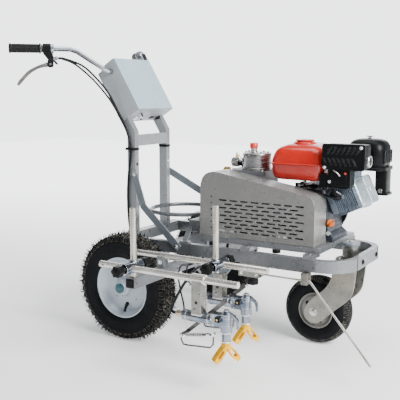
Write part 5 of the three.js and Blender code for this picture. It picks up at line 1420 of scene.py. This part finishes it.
# ------------------------------------------------------------------ deck, bow, guard and pointer details
detail = Form()
# Near-black discs paint the shade in the guard's holes.
for z in (438, 462, 486, 510, 534, 558):
    detail.rod((285, -180.6, z), (285, -179.6, z), 3.2, 20, 1)
detail.box((234.2, -181.4, 407.4), (706.8, -180.1, 417), 2)
detail.box((706.9, -181.2, 407.4), (708.2, -70.2, 417), 2)
detail.make("guard_lip", [white_screw, painted_gap_shade, guard_paint], "root", bevel=0.4, slot="guard_paint")
backing = Form()
backing.prism([(440, 412), (604, 412), (604, 592), (440, 618)], "y", -71.5, -69.6)
backing.make("guard_backing", dark_paint, "root", bevel=0.3, slot="guard_paint")
bow_parts = Form()
for y in (-58, 92):
    bow_parts.bolt((846.3, y, 347), (1, 0, 0), 7.0, 4.6, 0, dome=True)
# Near-black strips paint the shade in the bow's slots.
for side in (-1, 1):
    bow_parts.box((844.6, side * 111 - 1.1, 325.2), (846.2, side * 111 + 1.1, 370.2), 3)
for a, b in circle(6, 44, 1 / 12):
    bow_parts.bolt((SWIVEL_X + a, b, 333.2), (0, 0, 1), 5.2, 4.0, 2)
bow_parts.make("bow_bolts", [black_plastic, marks_and_hole_shade, white_screw, painted_gap_shade], "root", bevel=0.3,
               slot="frame_paint")
pointer_parts = Form()
pointer_parts.revolve([(3.8, 253.6), (9.4, 253.6), (9.8, 252.6), (9.0, 250.6), (3.8, 250.0)], (488, -222, 0),
                      "z", 32, 0, closed=False)
for x in (450, 506, 695):
    pointer_parts.bolt((x, -202.5, 319), (0, 0, -1), 5.4, 4.0, 1)
for x in (448, 508):
    pointer_parts.bolt((x, -236.3, 294), (0, -1, 0), 4.4, 3.4, 1)
pointer_parts.make("pointer_clamp_parts", [satin_black, white_screw], "root", bevel=0.3, slot="zinc_plate")
knob = Form()
knob.fluted((488, -222, 0), [(6, 275.2), (19, 275.0), (20.8, 273), (20.8, 256), (19.2, 253.6), (8, 253.4)],
            lambda radius, k: 1.02 + (0.07 * math.cos(math.pi * k / 5) if radius > 15 else 0), 60)
knob.make("pointer_knob", black_plastic, "root", slot="black_plastic", sharp=40)
hoop = Form().revolve([(140 + a, 470 + b) for a, b in circle(14, 8.2)], (70, -35, 0), "z", 72)
# The hoop sleeve takes the darker copy of the frame paint, which paints in shade.
hoop.make("pail_hoop_sleeve", shaded_frame_paint, "root", slot="frame_paint")
rack = Form()
for y in (-130, -40, 50):
    rack.bolt((222, y, 452.3), (0, 0, 1), 5.2, 3.6, 0)
rack.make("shelf_bolts", white_screw, "root", bevel=0.3, slot="zinc_plate")


# ------------------------------------------------------------------ floor and finish
floor = Form().box((-9000, -9000, -12), (9000, 9000, -0.4)).make("floor", floor_paint, None)
# The floor brightens with distance towards the wall, so that the two meet without an edge.
tree = floor_paint.node_tree
spot = tree.nodes.new("ShaderNodeTexCoord").outputs["Object"]
surface = tree.nodes["Principled BSDF"]
tree.links.new(rise_along(tree, spot, WALL_WAY, (-0.6, 5.0, 0.25, FLOOR_GLOW)),
               surface.inputs["Emission Strength"])
surface.inputs["Emission Color"].default_value = COOL_WHITE
